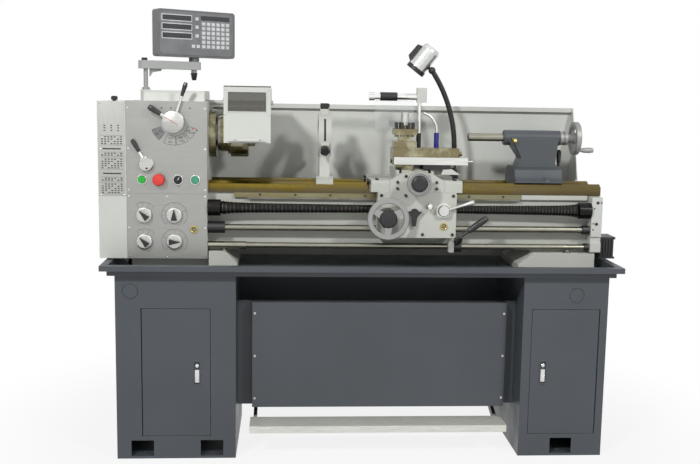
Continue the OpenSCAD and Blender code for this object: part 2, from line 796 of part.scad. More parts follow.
// Three-jaw chuck with stepped jaws
module chuck() {
    body_x = [nose_x + 33, nose_x + 94];
    jaw_w = 22;
    jaw_in = spindle_bore_r + 4;
    color(waxed) translate([0, 0, axis_z]) {
        difference() {
            turn_x([
                [spindle_bore_r + 2, nose_x], [62, nose_x], [62, body_x[0] - 8],
                [chuck_r - 10, body_x[0] - 8],
                [chuck_r - 10, body_x[0]], [chuck_r - 2, body_x[0]], [chuck_r, body_x[0] + 2],
                [chuck_r, body_x[1] - 4],
                [chuck_r - 4, body_x[1]], [spindle_bore_r + 2, body_x[1]]
            ]);
            for (i = [0 : 2]) rotate([90 + i * 120, 0, 0])
                span([body_x[1] - 18, body_x[1] + 1], [jaw_in - 6, chuck_r + 1],
                    [-jaw_w / 2 - 0.1, jaw_w / 2 + 0.1]);
            for (i = [0 : 2]) rotate([30 + i * 120, 0, 0])
                translate([(body_x[0] + body_x[1]) / 2 - 8, 0, 0]) bar_y([chuck_r - 16, chuck_r + 1], 7);
        }
        for (i = [0 : 2]) rotate([90 + i * 120, 0, 0]) draw_z([-jaw_w / 2, jaw_w / 2]) polygon([
            [body_x[1] - 19, jaw_in], [body_x[1] + 33, jaw_in], [body_x[1] + 33, 44], [body_x[1] + 22, 44],
            [body_x[1] + 22, 62], [body_x[1], 62], [body_x[1], chuck_r - 3], [body_x[1] - 19, chuck_r - 3]
        ]);
    }
}

module idler_gear() {
    color(steel) translate([0, idler_at[0], idler_at[1]]) difference() {
        union() {
            gear(idler_teeth, idler_turn);
            bar_x([gear_x[0] - 3, gear_x[1]], 22);
        }
        bar_x([gear_x[0] - 4, gear_x[1] + 1], stud_r + run);
        for (i = [0 : 4]) rotate([i * 72, 0, 0]) translate([0, 56, 0])
            bar_x([gear_x[0] - 1, gear_x[1] + 1], 17);
    }
}

module gearbox_gear() {
    color(steel) translate([0, box_shaft[0], box_shaft[1]]) {
        gear(box_teeth, box_turn);
        bar_x([gear_x[0] - 6, head_x[0] + 40], box_shaft_r);
    }
}

// The three rods between gearbox and end bracket
module lead_screw() {
    color(steel) translate([0, rod_y, lead_z]) bar_x(rod_x, lead_r);
}

module feed_rod() {
    color(steel) translate([0, rod_y, feed_z]) bar_x(rod_x, feed_r);
    color(black) translate([0, rod_y, feed_z]) difference() {
        bar_x([head_x[1] + slide, head_x[1] + 58], feed_r + 9);
        bar_x([head_x[1], head_x[1] + 59], feed_r);
    }
}

module control_rod() {
    color(steel) translate([0, rod_y, control_z]) {
        bar_x(rod_x, control_r);
        bar_x([head_x[1] + slide, head_x[1] + 130], control_r + 3);
    }
}

// Telescopic spring cover over the screw: lapped steel turns from a wide to a narrow end
module spring_cover(from, to) {
    turns = 22;
    dir = sign(to - from);
    cap = 44;
    wide = 28;
    mid = 21.5;
    narrow = lead_r + 2.5;
    wall_r = lead_r + 0.8;
    step = (abs(to - from) - cap) / turns;
    lap = (mid - narrow) / turns;
    translate([from, rod_y, lead_z]) mirror([dir < 0 ? 1 : 0, 0, 0]) turn_x(concat(
        [[wall_r, 0], [wide, 0], [wide, cap - 2], [wide - 2, cap]],
        [for (i = [0 : turns - 1])
            each [[mid - lap * i, cap + step * i], [mid - lap * (i + 1) + 0.2, cap + step * (i + 1)]]],
        [[wall_r, cap + step * turns]]
    ));
}

module left_screw_cover() {
    color(black) spring_cover(head_x[1] + slide, apron_x[0] - slide);
}

module right_screw_cover() {
    color(black) spring_cover(bracket_x[0] - slide, apron_x[1] + slide);
}

// Saddle on the outer ways with the cross dovetail and the screw boss
module saddle() {
    drop = bed_top - 18;
    lip = way_y + 0.4;
    color(pale) difference() {
        union() {
            draw_x(saddle_x) polygon([
                [saddle_front, drop], [-lip, drop], [-lip, bed_top], [-52, bed_top], [-52, saddle_top],
                [saddle_front + 8, saddle_top], [saddle_front, saddle_top - 8]
            ]);
            span(saddle_x, [48, way_y + 8], [bed_top, saddle_top]);
            span([carriage_x - 65, carriage_x + 65], [-60, 60], [bed_top + 3, saddle_top]);
            draw_y([-160, way_y + 8]) polygon([
                [carriage_x - 40, saddle_top - 1], [carriage_x - 48, dovetail_top],
                [carriage_x + 48, dovetail_top],
                [carriage_x + 40, saddle_top - 1]
            ]);
            draw_y([saddle_front - 3, -137]) polygon([
                [carriage_x - 92, drop], [carriage_x + 92, drop], [carriage_x + 92, saddle_top],
                [carriage_x + 52, bed_top + 46], [carriage_x - 52, bed_top + 46],
                [carriage_x - 92, saddle_top]
            ]);
        }
        translate([0, 0, bed_top]) draw_x(inset(saddle_x, -1)) {
            polygon([
                [vee_y - vee_w - slide * 2, -0.1], [vee_y, vee_h + slide * 2],
                [vee_y + vee_w + slide * 2, -0.1]
            ]);
            polygon([
                [rear_vee_y - rear_vee_w - slide * 2, -0.1], [rear_vee_y, rear_vee_w + slide * 2],
                [rear_vee_y + rear_vee_w + slide * 2, -0.1]
            ]);
        }
        translate([carriage_x, 0, cross_screw_z]) bar_y([saddle_front - 4, -130], 8 + run);
    }
}

// Apron: gear case below the saddle, with passages for the rods
module apron() {
    mid_z = (apron_z[0] + apron_z[1]) / 2;
    color(pale) {
        difference() {
            union() {
                translate([(apron_x[0] + apron_x[1]) / 2, 0, mid_z])
                    draw_y(apron_y) round_rect(apron_w, apron_h, 8);
                span(apron_x, [apron_y[0] + 6, apron_y[1]], [mid_z, apron_z[1]]);
                translate([wheel_at[0], 0, wheel_at[1]]) bar_y([apron_y[0] - 10, apron_y[0]], 34);
                translate([nut_at[0], 0, nut_at[1]]) bar_y([apron_y[0] - 6, apron_y[0]], 24);
            }
            translate([0, rod_y, lead_z]) bar_x(inset(apron_x, -1), lead_r + 2);
            translate([0, rod_y, feed_z]) bar_x(inset(apron_x, -1), feed_r + slide);
            translate([wheel_at[0], 0, wheel_at[1]]) bar_y([apron_y[0] - 11, apron_y[0] + 34], 10 + run);
            translate([nut_at[0], 0, nut_at[1]]) bar_y([apron_y[0] - 7, apron_y[0] + 30], 8 + run);
            translate([feed_at[0], 0, feed_at[1]]) bar_y([apron_y[0] - 1, apron_y[0] + 30], 7 + run);
        }
    }
    color(steel) translate([carriage_x + 42, apron_y[0], bed_top - 63])
        turn_front([[0, 0], [5, 0], [5, 8], [9, 12], [12, 18], [12, 22], [8, 28], [0, 30]]);
}

// Spoked handwheel facing the operator: rim, three spokes and a hub
module spoked_wheel(r, rim, hub, spoke) {
    rotate([90, 0, 0]) rotate_extrude() translate([r - rim, 0]) circle(rim);
    for (i = [0 : 2]) rotate([0, 90 + i * 120, 0]) draw_y([-5, 5])
        polygon([[hub - 6, -spoke], [r - rim, -spoke * 0.7], [r - rim, spoke * 0.7], [hub - 6, spoke]]);
}

module carriage_wheel() {
    hub = 30;
    plane = apron_y[0] - 44;
    translate([wheel_at[0], plane, wheel_at[1]]) {
        color(steel) spoked_wheel(carriage_wheel_r, 7, hub, 13);
        color(black) turn_front([[0, -33], [28, -33], [hub, -31], [hub, -12], [hub, 6], [26, 10], [10, 11],
            [0, 11]]);
        color(steel) bar_y([20, 76], 10);
    }
}

module half_nut_lever() {
    tip = [103, 32];
    reach = norm(tip);
    translate([nut_at[0], apron_y[0] - 6, nut_at[1]]) {
        color(steel) {
            turn_front([[0, 0.3], [21, 0.3], [21, 10], [17, 16], [0, 16]]);
            rotate([0, -atan2(tip[1], tip[0]), 0]) translate([0, -9, 0]) rotate([0, 90, 0])
                rotate_extrude() polygon([[0, 10], [4, 10], [5, reach - 40], [8, reach - 12],
                    [7, reach - 2], [0, reach]]);
            bar_y([-0.4, 34], 8);
        }
    }
}

module feed_lever() {
    translate([feed_at[0], apron_y[0], feed_at[1]]) color(black) {
        turn_front([[0, 0.3], [15, 0.3], [15, 8], [12, 11], [0, 11]]);
        draw_y([-15, -8]) polygon([[-24, 6], [24, 6], [8, -14], [4, -44], [-8, -44], [-8, -14]]);
        bar_y([-9, 28], 7);
    }
}

// Forward and reverse lever, clamped round the control rod beside the apron
module control_lever() {
    hub_x = [lever_x - 4, lever_x + 22];
    color(black) {
        difference() {
            union() {
                translate([0, rod_y, control_z]) bar_x(hub_x, control_r + 9);
                draw_x([lever_x, lever_x + 14]) polygon([
                    [rod_y - 8, control_z + 6], [rod_y - 70, control_z + 26], [rod_y - 80, control_z + 40],
                    [rod_y - 76, control_z + 52], [rod_y - 64, control_z + 42], [rod_y + 6, control_z + 14]
                ]);
                translate([lever_x + 7, rod_y - 74, control_z + 44]) rotate([0, 54, 0]) rotate_extrude()
                    polygon([
                    [0, -8], [5, -8], [5, 30], [9, 34], [11, 60], [11, 100], [7, 112], [0, 114]
                ]);
            }
            translate([0, rod_y, control_z]) bar_x(inset(hub_x, -1), control_r + run);
        }
    }
}

// Cross slide on the saddle's dovetail
module cross_slide() {
    x = [carriage_x - cross_w / 2, carriage_x + cross_w / 2];
    low = saddle_top + 0.2;
    side = slide * 1.5;
    color(pale) difference() {
        span(x, cross_y, [low, cross_top]);
        draw_y(inset(cross_y, -1)) polygon([
            [carriage_x - 40.5 - side, low - 1], [carriage_x - 48 - side, dovetail_top + side],
            [carriage_x + 48 + side, dovetail_top + side], [carriage_x + 40.5 + side, low - 1]
        ]);
        for (s = [-1, 1]) draw_y(inset(cross_y, -1))
            translate([carriage_x + s * 50, cross_top - 5]) square([9, 12], center = true);
    }
}

module cross_wheel() {
    plane = saddle_front - 3;
    color(steel) translate([carriage_x, plane, cross_screw_z]) {
        turn_front([
            [0, 0.3], [22, 0.3], [24, 2], [24, 26], [14, 27], [14, 48], [20, 48], [cross_wheel_r - 6, 52],
            [cross_wheel_r - 1, 50], [cross_wheel_r, 56], [cross_wheel_r - 2, 66], [cross_wheel_r - 6, 67],
            [cross_wheel_r - 9, 60], [26, 60], [25, 68], [20, 71], [0, 71]
        ]);
        bar_y([-0.4, 36], 8);
    }
}

// Swivelling base of the compound with its rail along X, the scale reader and the cable shield
module compound_base() {
    rail_x = [carriage_x - 64, carriage_x + 136];
    reader_x = [carriage_x + 26, carriage_x + 122];
    reader_y = [compound_at[1] - 62, compound_at[1] - 38];
    color(waxed) {
        translate([compound_at[0], compound_at[1], 0]) {
            bar_z([cross_top, cross_top + 6], swivel_r);
            bar_z([cross_top + 5, swivel_top], swivel_r - 4);
        }
        span(rail_x, [compound_at[1] - 38, compound_at[1] + 38], [cross_top + 8, swivel_top]);
        draw_x(rail_x) translate([compound_at[1], swivel_top - 1])
            polygon([[-24, 0], [-30, rail_top - swivel_top + 1], [30, rail_top - swivel_top + 1], [24, 0]]);
    }
    color(black) span(reader_x, reader_y, [swivel_top - 14, swivel_top]);
    color(pale) draw_y([reader_y[0], reader_y[0] + 14]) polygon([
        [reader_x[1] - 26, swivel_top - 12], [reader_x[1] + 4, swivel_top - 12],
        [reader_x[1] + 34, cross_top - 14], [reader_x[1] - 32, cross_top - 14]
    ]);
}

// Top slide along X with the tool-post stud and the measuring scale on its front
module top_slide() {
    side = slide * 1.5;
    low = swivel_top + 0.2;
    scale_x = [top_x[0] + 3, top_x[0] + 258];
    scale_y = [top_y[0] - 20, top_y[0]];
    scale_z = [swivel_top + 2, swivel_top + 27];
    color(waxed) {
        difference() {
            union() {
                span(top_x, top_y, [low, top_z[1] - 4]);
                span(top_x, inset(top_y, 4), [top_z[1] - 5, top_z[1]]);
            }
            translate([0, compound_at[1], 0]) draw_x(inset(top_x, -1)) polygon([
                [-24.6 - side, low - 1], [-30 - side, rail_top + side], [30 + side, rail_top + side],
                [24.6 + side, low - 1]
            ]);
        }
        translate([post_at[0], post_at[1], 0]) bar_z([top_z[1], top_z[1] + 112], post_stud_r);
        translate([top_x[1], compound_at[1], top_z[1] - 20]) {
            bar_x([0, 8], 19);
            bar_x([8, 18], 8);
        }
    }
    color(pale) {
        span(scale_x, scale_y, scale_z);
        translate([0, scale_y[0] + 10, scale_z[0] + 12]) bar_x([scale_x[1], scale_x[1] + 18], 3);
    }
}

// Four-way tool post that turns on its stud
module tool_post() {
    w = tool_post_w;
    base_h = 22;
    top_h = 20;
    z0 = top_z[1] + slide;
    slot_z = [z0 + base_h, z0 + base_h + tool_slot_h];
    top = slot_z[1] + top_h;
    screw_at = w / 2 - 10;
    translate([post_at[0], post_at[1], 0]) {
        color(waxed) difference() {
            union() {
                draw_z([z0, slot_z[0]]) square(w, center = true);
                draw_z(slot_z) square(w * 0.56, center = true);
                draw_z([slot_z[1], top]) square(w, center = true);
                bar_z([top, top + 12], 20);
            }
            bar_z([z0 - 1, top + 13], post_stud_r + run);
        }
        color(black) {
            for (a = [0 : 3], s = [-1, 1]) rotate(a * 90) translate([screw_at, s * screw_at * 0.42, 0]) {
                bar_z([slot_z[1] - 8, slot_z[1]], 4);
                draw_z([top, top + 22]) square(9, center = true);
            }
        }
        color(steel) difference() {
            bar_z([top + 12, top + 56], 13);
            bar_z([top + 11, top + 57], post_stud_r + run);
        }
    }
}

// Post behind the tool post with the shield tube, and the coolant pipe with its tap
module shield_post() {
    plate_z = [cross_top, cross_top + 6];
    block_z = [tube_z - 20, tube_z + 32];
    tap_z = [cross_top + 72, cross_top + 124];
    bend_r = 62;
    color(pale) {
        span([shield_at[0] - 16, tap_x + 16], [shield_at[1] - 20, shield_at[1] + 22], plate_z);
        span([shield_at[0] - 10, shield_at[0] + 24], [shield_at[1] - 15, shield_at[1] + 15], block_z);
    }
    color(steel) {
        translate([shield_at[0], shield_at[1], 0]) bar_z([plate_z[1], block_z[0]], 7.5);
        translate([0, shield_at[1], tube_z]) {
            bar_x([shield_at[0] - 180, shield_at[0] - 10], tube_r);
            bar_x([shield_at[0] - 180, shield_at[0] - 160], tube_r + 4);
        }
        translate([tap_x - bend_r, shield_at[1], tap_z[1] + 8]) rotate([90, 0, 0])
            rotate_extrude(angle = 78) translate([bend_r, 0]) circle(4.5);
        translate([tap_x, shield_at[1], 0]) bar_z([tap_z[1], tap_z[1] + 8], 4.5);
    }
    color(black) translate([shield_at[0], shield_at[1], 0]) difference() {
        bar_z([plate_z[1], cross_top + 122], 8.5);
        bar_z([plate_z[1] - 1, cross_top + 123], 7.5);
    }
    color([0.10, 0.13, 0.55]) translate([tap_x, shield_at[1], 0]) {
        bar_z(tap_z, 9);
        bar_z([plate_z[1], tap_z[0]], 6);
    }
}

// Clear shield that swings on the tube
module tool_shield() {
    ring_x = [shield_at[0] - 140, shield_at[0] - 80];
    panel_x = [shield_at[0] - 158, shield_at[0] - 18];
    low = tube_z - 115;
    translate([0, shield_at[1], 0]) {
        color(black) difference() {
            translate([0, 0, tube_z]) bar_x(ring_x, tube_r + 4);
            translate([0, 0, tube_z]) bar_x(inset(ring_x, -1), tube_r + run);
        }
        color(clear) draw_y([-1.5, 1.5])
            translate([(panel_x[0] + panel_x[1]) / 2, (low + tube_z - tube_r - 3) / 2])
            round_rect(panel_x[1] - panel_x[0], tube_z - tube_r - 3 - low, 8);
    }
}

// Work lamp: bracket on the saddle, bent neck and aluminium head
module work_lamp() {
    neck_r = 8.5;
    bend = 490;
    bend_angle = 35;
    foot_z = [bed_top + vee_h + 2, saddle_top];
    rise_z = bed_top + 115;
    neck_end = [lamp_at[0] - bend * (1 - cos(bend_angle)), rise_z + bend * sin(bend_angle)];
    color(black) {
        span([saddle_x[1], lamp_at[0] + 14], [lamp_at[1] - 16, lamp_at[1] + 16], foot_z);
        translate([lamp_at[0], lamp_at[1], 0]) {
            bar_z([saddle_top, saddle_top + 22], 13);
            bar_z([saddle_top + 22, rise_z], neck_r);
        }
        translate([lamp_at[0] - bend, lamp_at[1], rise_z]) rotate([90, 0, 0])
            rotate_extrude(angle = bend_angle, $fn = 128) translate([bend, 0]) circle(neck_r);
        translate([neck_end[0], lamp_at[1], neck_end[1]]) sphere(13);
    }
    translate([neck_end[0], lamp_at[1], neck_end[1]]) lamp_head();
}

// The head hangs beside the ball at the neck's end, its axis pointing down to the chuck
module lamp_head() {
    len = 100;
    rotate([0, 0, -12]) rotate([0, 38, 0]) {
        color(alu) {
            translate([-lamp_r - 14, 0, 0]) difference() {
                rotate_extrude() polygon([
                    [0, len / 2 + 14], [lamp_r - 8, len / 2 + 14], [lamp_r - 3, len / 2 + 8],
                    [lamp_r, len / 2],
                    [lamp_r, -len / 2 + 26], [lamp_r - 4, -len / 2 + 26], [lamp_r - 4, len / 2 - 4],
                    [0, len / 2 - 4]
                ]);
                bar_z([-len, -len / 2], lamp_r + 10);
            }
            rotate([0, -90, 0]) cylinder(r = 6, h = 16);
        }
        color(black) translate([-lamp_r - 14, 0, 0]) {
            rotate_extrude() polygon([
                [lamp_r - 4, -len / 2 + 26], [lamp_r + 2, -len / 2 + 26], [lamp_r + 2, -len / 2 + 10],
                [lamp_r - 4, -len / 2 + 10]
            ]);
            bar_z([-len / 2 + 16, -len / 2 + 19], lamp_r - 4);
            draw_y([-5, 5]) polygon([
                [-lamp_r + 1, 46], [-lamp_r - 16, 40], [-lamp_r - 18, -10], [-lamp_r + 1, -24]
            ]);
        }
    }
}

// Tailstock: keyed base, body and barrel with a bore for the quill
module tailstock() {
    low = bed_top;
    base_top = bed_top + 30;
    inner = 68;
    color(slate) {
        difference() {
            union() {
                draw_x(tail_base_x) polygon([
                    [-82, low + 11], [-82, base_top], [82, base_top], [82, low + 11], [76, low], [46, low],
                    [46, low - 8],
                    [-46, low - 8], [-46, low], [vee_y + vee_w + 2, low], [vee_y + vee_w + 2, low + 11]
                ]);
                draw_y([-44, 44]) polygon([
                    [tail_base_x[0] + 4, base_top - 1], [tail_base_x[1] - 4, base_top - 1],
                    [tail_base_x[1] - 12, bed_top + 58],
                    [barrel_x[1] - 22, bed_top + 78], [barrel_x[1] - 12, axis_z], [barrel_x[0] + 22, axis_z],
                    [tail_base_x[0] + 28, bed_top + 96], [tail_base_x[0] + 14, bed_top + 60]
                ]);
                draw_x([tail_base_x[0], tail_base_x[1]]) polygon([
                    [-72, base_top - 1], [72, base_top - 1], [66, bed_top + 56], [44, bed_top + 66],
                    [-44, bed_top + 66],
                    [-66, bed_top + 56]
                ]);
                translate([0, 0, axis_z]) turn_x([
                    [0, barrel_x[0]], [barrel_r - 3, barrel_x[0]], [barrel_r, barrel_x[0] + 4],
                    [barrel_r, barrel_x[1]],
                    [0, barrel_x[1]]
                ]);
                draw_y([-30, 30]) polygon([
                    [tail_base_x[0] + 30, bed_top + 90], [barrel_x[1] - 20, bed_top + 90],
                    [barrel_x[1] - 8, axis_z],
                    [barrel_x[0] + 8, axis_z]
                ]);
            }
            translate([0, 0, axis_z]) bar_x([barrel_x[0] - 1, barrel_x[1] + 1], quill_r + run);
            translate([0, 0, bed_top]) draw_x(inset(tail_base_x, -1)) polygon([
                [rear_vee_y - rear_vee_w - slide * 2, -0.1], [rear_vee_y, rear_vee_w + slide * 2],
                [rear_vee_y + rear_vee_w + slide * 2, -0.1]
            ]);
            translate([tail_base_x[1], clamp_at[0], clamp_at[1]]) bar_x([-40, 1], clamp_shaft_r + run);
        }
    }
    color(steel) translate([tail_base_x[0], 0, axis_z - 10]) {
        translate([0, -barrel_r - 24, 0]) bar_y([0, 26], 5);
        translate([0, -barrel_r - 27, 0]) sphere(9);
    }
}

module quill() {
    color(steel) translate([0, 0, axis_z]) difference() {
        turn_x([
            [0, barrel_x[0] - quill_out], [quill_r - 2, barrel_x[0] - quill_out],
            [quill_r, barrel_x[0] - quill_out + 2],
            [quill_r, barrel_x[1] - 110], [0, barrel_x[1] - 110]
        ]);
        turn_x([[0, barrel_x[0] - quill_out - 1], [9, barrel_x[0] - quill_out - 1],
            [7, barrel_x[0] - quill_out + 80],
            [0, barrel_x[0] - quill_out + 80]]);
    }
}

// Handwheel on the tailstock screw, with its crank handle
module tailstock_wheel() {
    plane = barrel_x[1] + 58;
    handle = [34, -40];
    translate([plane, 0, axis_z]) color(steel) {
        rotate([0, 0, 90]) spoked_wheel(tail_wheel_r, 6, 20, 9);
        turn_x([[0, -57.7], [23, -57.7], [24, -56], [24, -30], [16, -28], [16, -10], [20, -9], [20, 9],
            [16, 12], [0, 12]]);
        bar_x([-100, -50], quill_r - 4);
        translate([0, -handle[0], handle[1]]) turn_x([
            [0, -4], [7, -4], [7, 8], [6, 10], [9, 24], [10, 44], [8, 56], [0, 60]
        ]);
    }
}

module tailstock_clamp() {
    color(black) translate([tail_base_x[1], clamp_at[0], clamp_at[1]]) {
        bar_x([-38, 30], clamp_shaft_r);
        bar_x([6, 28], 13);
        translate([18, 0, 0]) rotate_extrude()
            polygon([[0, 0], [5, 0], [5, 40], [8, 46], [9, 78], [6, 86], [0, 87]]);
    }
}

// Hinged chuck guard: folded front with a window, top, flared sides and its hinge shaft
module chuck_guard() {
    guard_x = [head_x[1] + 53, head_x[1] + 211];
    front = -110;
    back = 58;
    top = axis_z + 164;
    low = axis_z - 27;
    wall = 3;
    window_x = [guard_x[0] + 14, guard_x[1] - 15];
    window_z = [axis_z + 78, axis_z + 144];
    side_outline = [
        [front, low + 110], [front, top - 8], [front + 8, top], [back, top - 12], [back - 10, guard_axis[1] - 14],
        [front + 40, guard_axis[1] - 40]
    ];
    color(pale) {
        difference() {
            union() {
                span(guard_x, [front, front + wall], [low, top - 4]);
                draw_x(guard_x) polygon([
                    [front, top - 8], [front + 8, top], [back, top - 12], [back, top - 12 - wall],
                    [front + 8 + wall, top - wall - 1], [front, top - 12]
                ]);
                draw_x([guard_x[0], guard_x[0] + wall]) polygon(side_outline);
                draw_x([guard_x[1] - wall, guard_x[1]]) polygon(side_outline);
            }
            span(window_x, [front - 1, front + wall + 1], window_z);
        }
        span(inset(guard_x, 16), [front - 12, front], [low + 6, low + 9]);
        translate([0, guard_axis[0], guard_axis[1]]) {
            bar_x([head_x[1] - 40, guard_x[1] + 6], guard_shaft_r);
            bar_x([guard_x[0] - 10, guard_x[0]], guard_shaft_r + 8);
        }
    }
    color(clear) span(inset(window_x, -8), [front + wall, front + wall + 3], inset(window_z, -8));
}

// Fixed steady: foot on the ways, pillar, ring and three fingers with knobs
module steady_rest() {
    x = [steady_x - steady_w / 2, steady_x + steady_w / 2];
    foot_x = [steady_x - 29, steady_x + 29];
    ring_r = 76;
    hole_r = 52;
    color(pale) difference() {
        union() {
            draw_x(foot_x) translate([0, bed_top]) polygon([
                [-92, 0], [-92, 16], [-60, 26], [60, 26], [92, 16], [92, 0]
            ]);
            draw_x(inset(x, 4)) translate([0, bed_top]) polygon([
                [-70, 20], [-52, 60], [-44, centre_h - 40], [44, centre_h - 40], [52, 60], [70, 20]
            ]);
            translate([0, 0, axis_z]) bar_x(x, ring_r);
            for (a = [90, 210, 330]) translate([steady_x, 0, axis_z]) rotate([a - 90, 0, 0])
                span([-15, 15], [-15, 15], [hole_r, ring_r + 14]);
        }
        translate([0, 0, axis_z]) bar_x(inset(x, -1), hole_r);
        translate([0, 0, bed_top]) draw_x(inset(foot_x, -1)) {
            polygon([
                [vee_y - vee_w - slide * 2, -0.1], [vee_y, vee_h + slide * 2],
                [vee_y + vee_w + slide * 2, -0.1]
            ]);
            polygon([
                [rear_vee_y - rear_vee_w - slide * 2, -0.1], [rear_vee_y, rear_vee_w + slide * 2],
                [rear_vee_y + rear_vee_w + slide * 2, -0.1]
            ]);
        }
        for (a = [90, 210, 330]) translate([steady_x, 0, axis_z]) rotate([a - 90, 0, 0])
            bar_z([hole_r - 8, ring_r + 15], 8);
    }
    for (a = [90, 210, 330]) translate([steady_x, 0, axis_z]) rotate([a - 90, 0, 0]) {
        color(steel) bar_z([24, ring_r + 14], 8);
        color(black) bar_z([ring_r + 14, ring_r + 34], 14);
    }
}

// Post and arm that turn in the headstock's boss and carry the display
arm_len = 180;
arm_turn = 30;
arm_z = [head_top + 108, head_top + 136];
display_at = [dro_x + arm_len * cos(arm_turn), arm_len * sin(arm_turn)];
display_stud_r = 8;
module dro_arm() {
    color(alu) {
        translate([dro_x, 0, 0]) {
            bar_z([head_top - 38, arm_z[0] + 1], dro_post_r);
            bar_z([head_top + dro_boss_h + slide, head_top + dro_boss_h + 8], 13);
            rotate(arm_turn) span([-20, arm_len + 16], [-17, 17], arm_z);
        }
        translate([display_at[0], display_at[1], 0]) {
            bar_z([arm_z[1] - 1, arm_z[1] + 34], display_stud_r);
            bar_z([arm_z[0] - 10, arm_z[0] + 1], 10);
        }
    }
}

// Digital readout turned towards the operator
module dro_display() {
    w = 300;
    d = 50;
    h = 160;
    low = arm_z[1] + 15;
    color(pale) translate([display_at[0], display_at[1], 0]) rotate(33) difference() {
        union() {
            translate([0, 0, low + h / 2]) draw_y([-d / 2, d / 2 - 8]) round_rect(w, h, 10);
            translate([0, 0, low + h / 2]) draw_y([d / 2 - 9, d / 2]) round_rect(w - 24, h - 24, 8);
            bar_z([arm_z[1] + slide, low + 1], 18);
        }
        bar_z([arm_z[1], arm_z[1] + 35], display_stud_r + run);
        translate([-58, 0, low + h / 2]) draw_y([-d / 2 - 1, -d / 2 + 3]) round_rect(w - 150, h - 50, 4);
    }
}

// A lever that turns on the front: hub, round arm at an angle, and a tapered grip
module front_lever(at, y, hub_r, hub_t, angle, len, grip_r) {
    translate([at[0], y, at[1]]) {
        color(steel) turn_front([[0, 0], [hub_r, 0], [hub_r, hub_t - 3], [hub_r - 3, hub_t], [0, hub_t]]);
        rotate([0, -angle, 0]) translate([0, -hub_t * 0.6, 0]) rotate([0, 90, 0]) {
            color(steel) bar_z([hub_r - 6, len - 40], 5);
            color(black) rotate_extrude()
                polygon([
                    [0, len - 48], [grip_r - 3, len - 48], [grip_r - 2, len - 40], [grip_r, len - 12],
                    [grip_r - 2, len - 2], [0, len]
                ]);
        }
    }
}

module speed_lever() {
    face = -head_front - 15;
    front_lever(speed_at, face, 26, 16, 148, 95, 10);
    color(steel) translate([speed_at[0], 0, speed_at[1]]) bar_y([face - 1, -head_front + 32], 8);
}

module range_lever() {
    difference() {
        union() {
            front_lever(speed_at, -head_front - slide, 31, 14, 72, 137, 8);
            color(steel) translate([speed_at[0], 0, speed_at[1]])
                bar_y([-head_front - 8, -head_front + 30], sleeve_r);
        }
        translate([speed_at[0], 0, speed_at[1]]) bar_y([-head_front - 20, -head_front + 31], 8 + run);
    }
}

module reverse_lever() {
    front_lever(reverse_at, -head_front - slide, 25, 14, 119, 94, 8);
    color(steel) translate([reverse_at[0], 0, reverse_at[1]])
        bar_y([-head_front - 8, -head_front + 28], control_shaft_r);
}

// Gearbox knob with a raised pointer bar at an angle
module gearbox_knob(x, z, angle) {
    translate([x, -head_front, z]) {
        color(steel) {
            turn_front([
                [0, slide], [knob_r, slide], [knob_r, 8], [knob_r - 2, 11], [knob_r - 6, 12], [0, 12]
            ]);
            bar_y([-2, 22], control_shaft_r);
        }
        color(black) rotate([0, -angle, 0]) draw_y([-22, -11])
            polygon([[knob_r - 5, 0], [-knob_r + 10, 10], [-knob_r + 10, -10]]);
    }
}

module upper_left_knob() {
    gearbox_knob(knob_x[0], knob_z[0], 135);
}

module upper_right_knob() {
    gearbox_knob(knob_x[1], knob_z[0], 90);
}

module lower_left_knob() {
    gearbox_knob(knob_x[0], knob_z[1], 135);
}

module lower_right_knob() {
    gearbox_knob(knob_x[1], knob_z[1], 0);
}

module push_button(x, tint) {
    color(tint) translate([x, -head_front, button_z])
        turn_front([[0, -16], [button_r, -16], [button_r, 8], [button_r - 1.5, 10], [0, 10.5]]);
}

module start_button() {
    push_button(start_x, green);
}

module coolant_button() {
    push_button(coolant_x, green);
}

module stop_button() {
    color(red) translate([stop_x, -head_front, button_z])
        turn_front([[0, -16], [button_r, -16], [button_r, 14], [20, 15], [20, 20], [16, 25], [0, 27]]);
}

module mode_switch() {
    translate([mode_x, -head_front, button_z]) color(black) {
        turn_front([[0, slide], [14, slide], [14, 7], [0, 7]]);
        rotate([0, 30, 0]) draw_y([-18, -6]) square([7, 26], center = true);
        bar_y([-2, 28], control_shaft_r);
    }
}

left_cabinet();
right_cabinet();
stand_panels();
chip_tray();
bed();
rod_bracket();
splash_guard();
junction_box();
headstock();
gearbox();
motor();
motor_pulley();
drive_pulley();
drive_belt();
dro_arm();
dro_display();
left_door();
right_door();
brake_pedal();
gear_cover();
spindle();
chuck();
idler_gear();
gearbox_gear();
lead_screw();
feed_rod();
control_rod();
left_screw_cover();
right_screw_cover();
saddle();
apron();
carriage_wheel();
half_nut_lever();
feed_lever();
control_lever();
cross_slide();
cross_wheel();
compound_base();
top_slide();
tool_post();
shield_post();
tool_shield();
work_lamp();
tailstock();
quill();
tailstock_wheel();
tailstock_clamp();
chuck_guard();
steady_rest();
speed_lever();
range_lever();
reverse_lever();
upper_left_knob();
upper_right_knob();
lower_left_knob();
lower_right_knob();
start_button();
stop_button();
mode_switch();
coolant_button();
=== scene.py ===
"""Looks of the screw-cutting lathe: finishes, plates, scales, screws and other small pieces."""

import json
import math

import bmesh
import bpy
from mathutils import Matrix, Vector


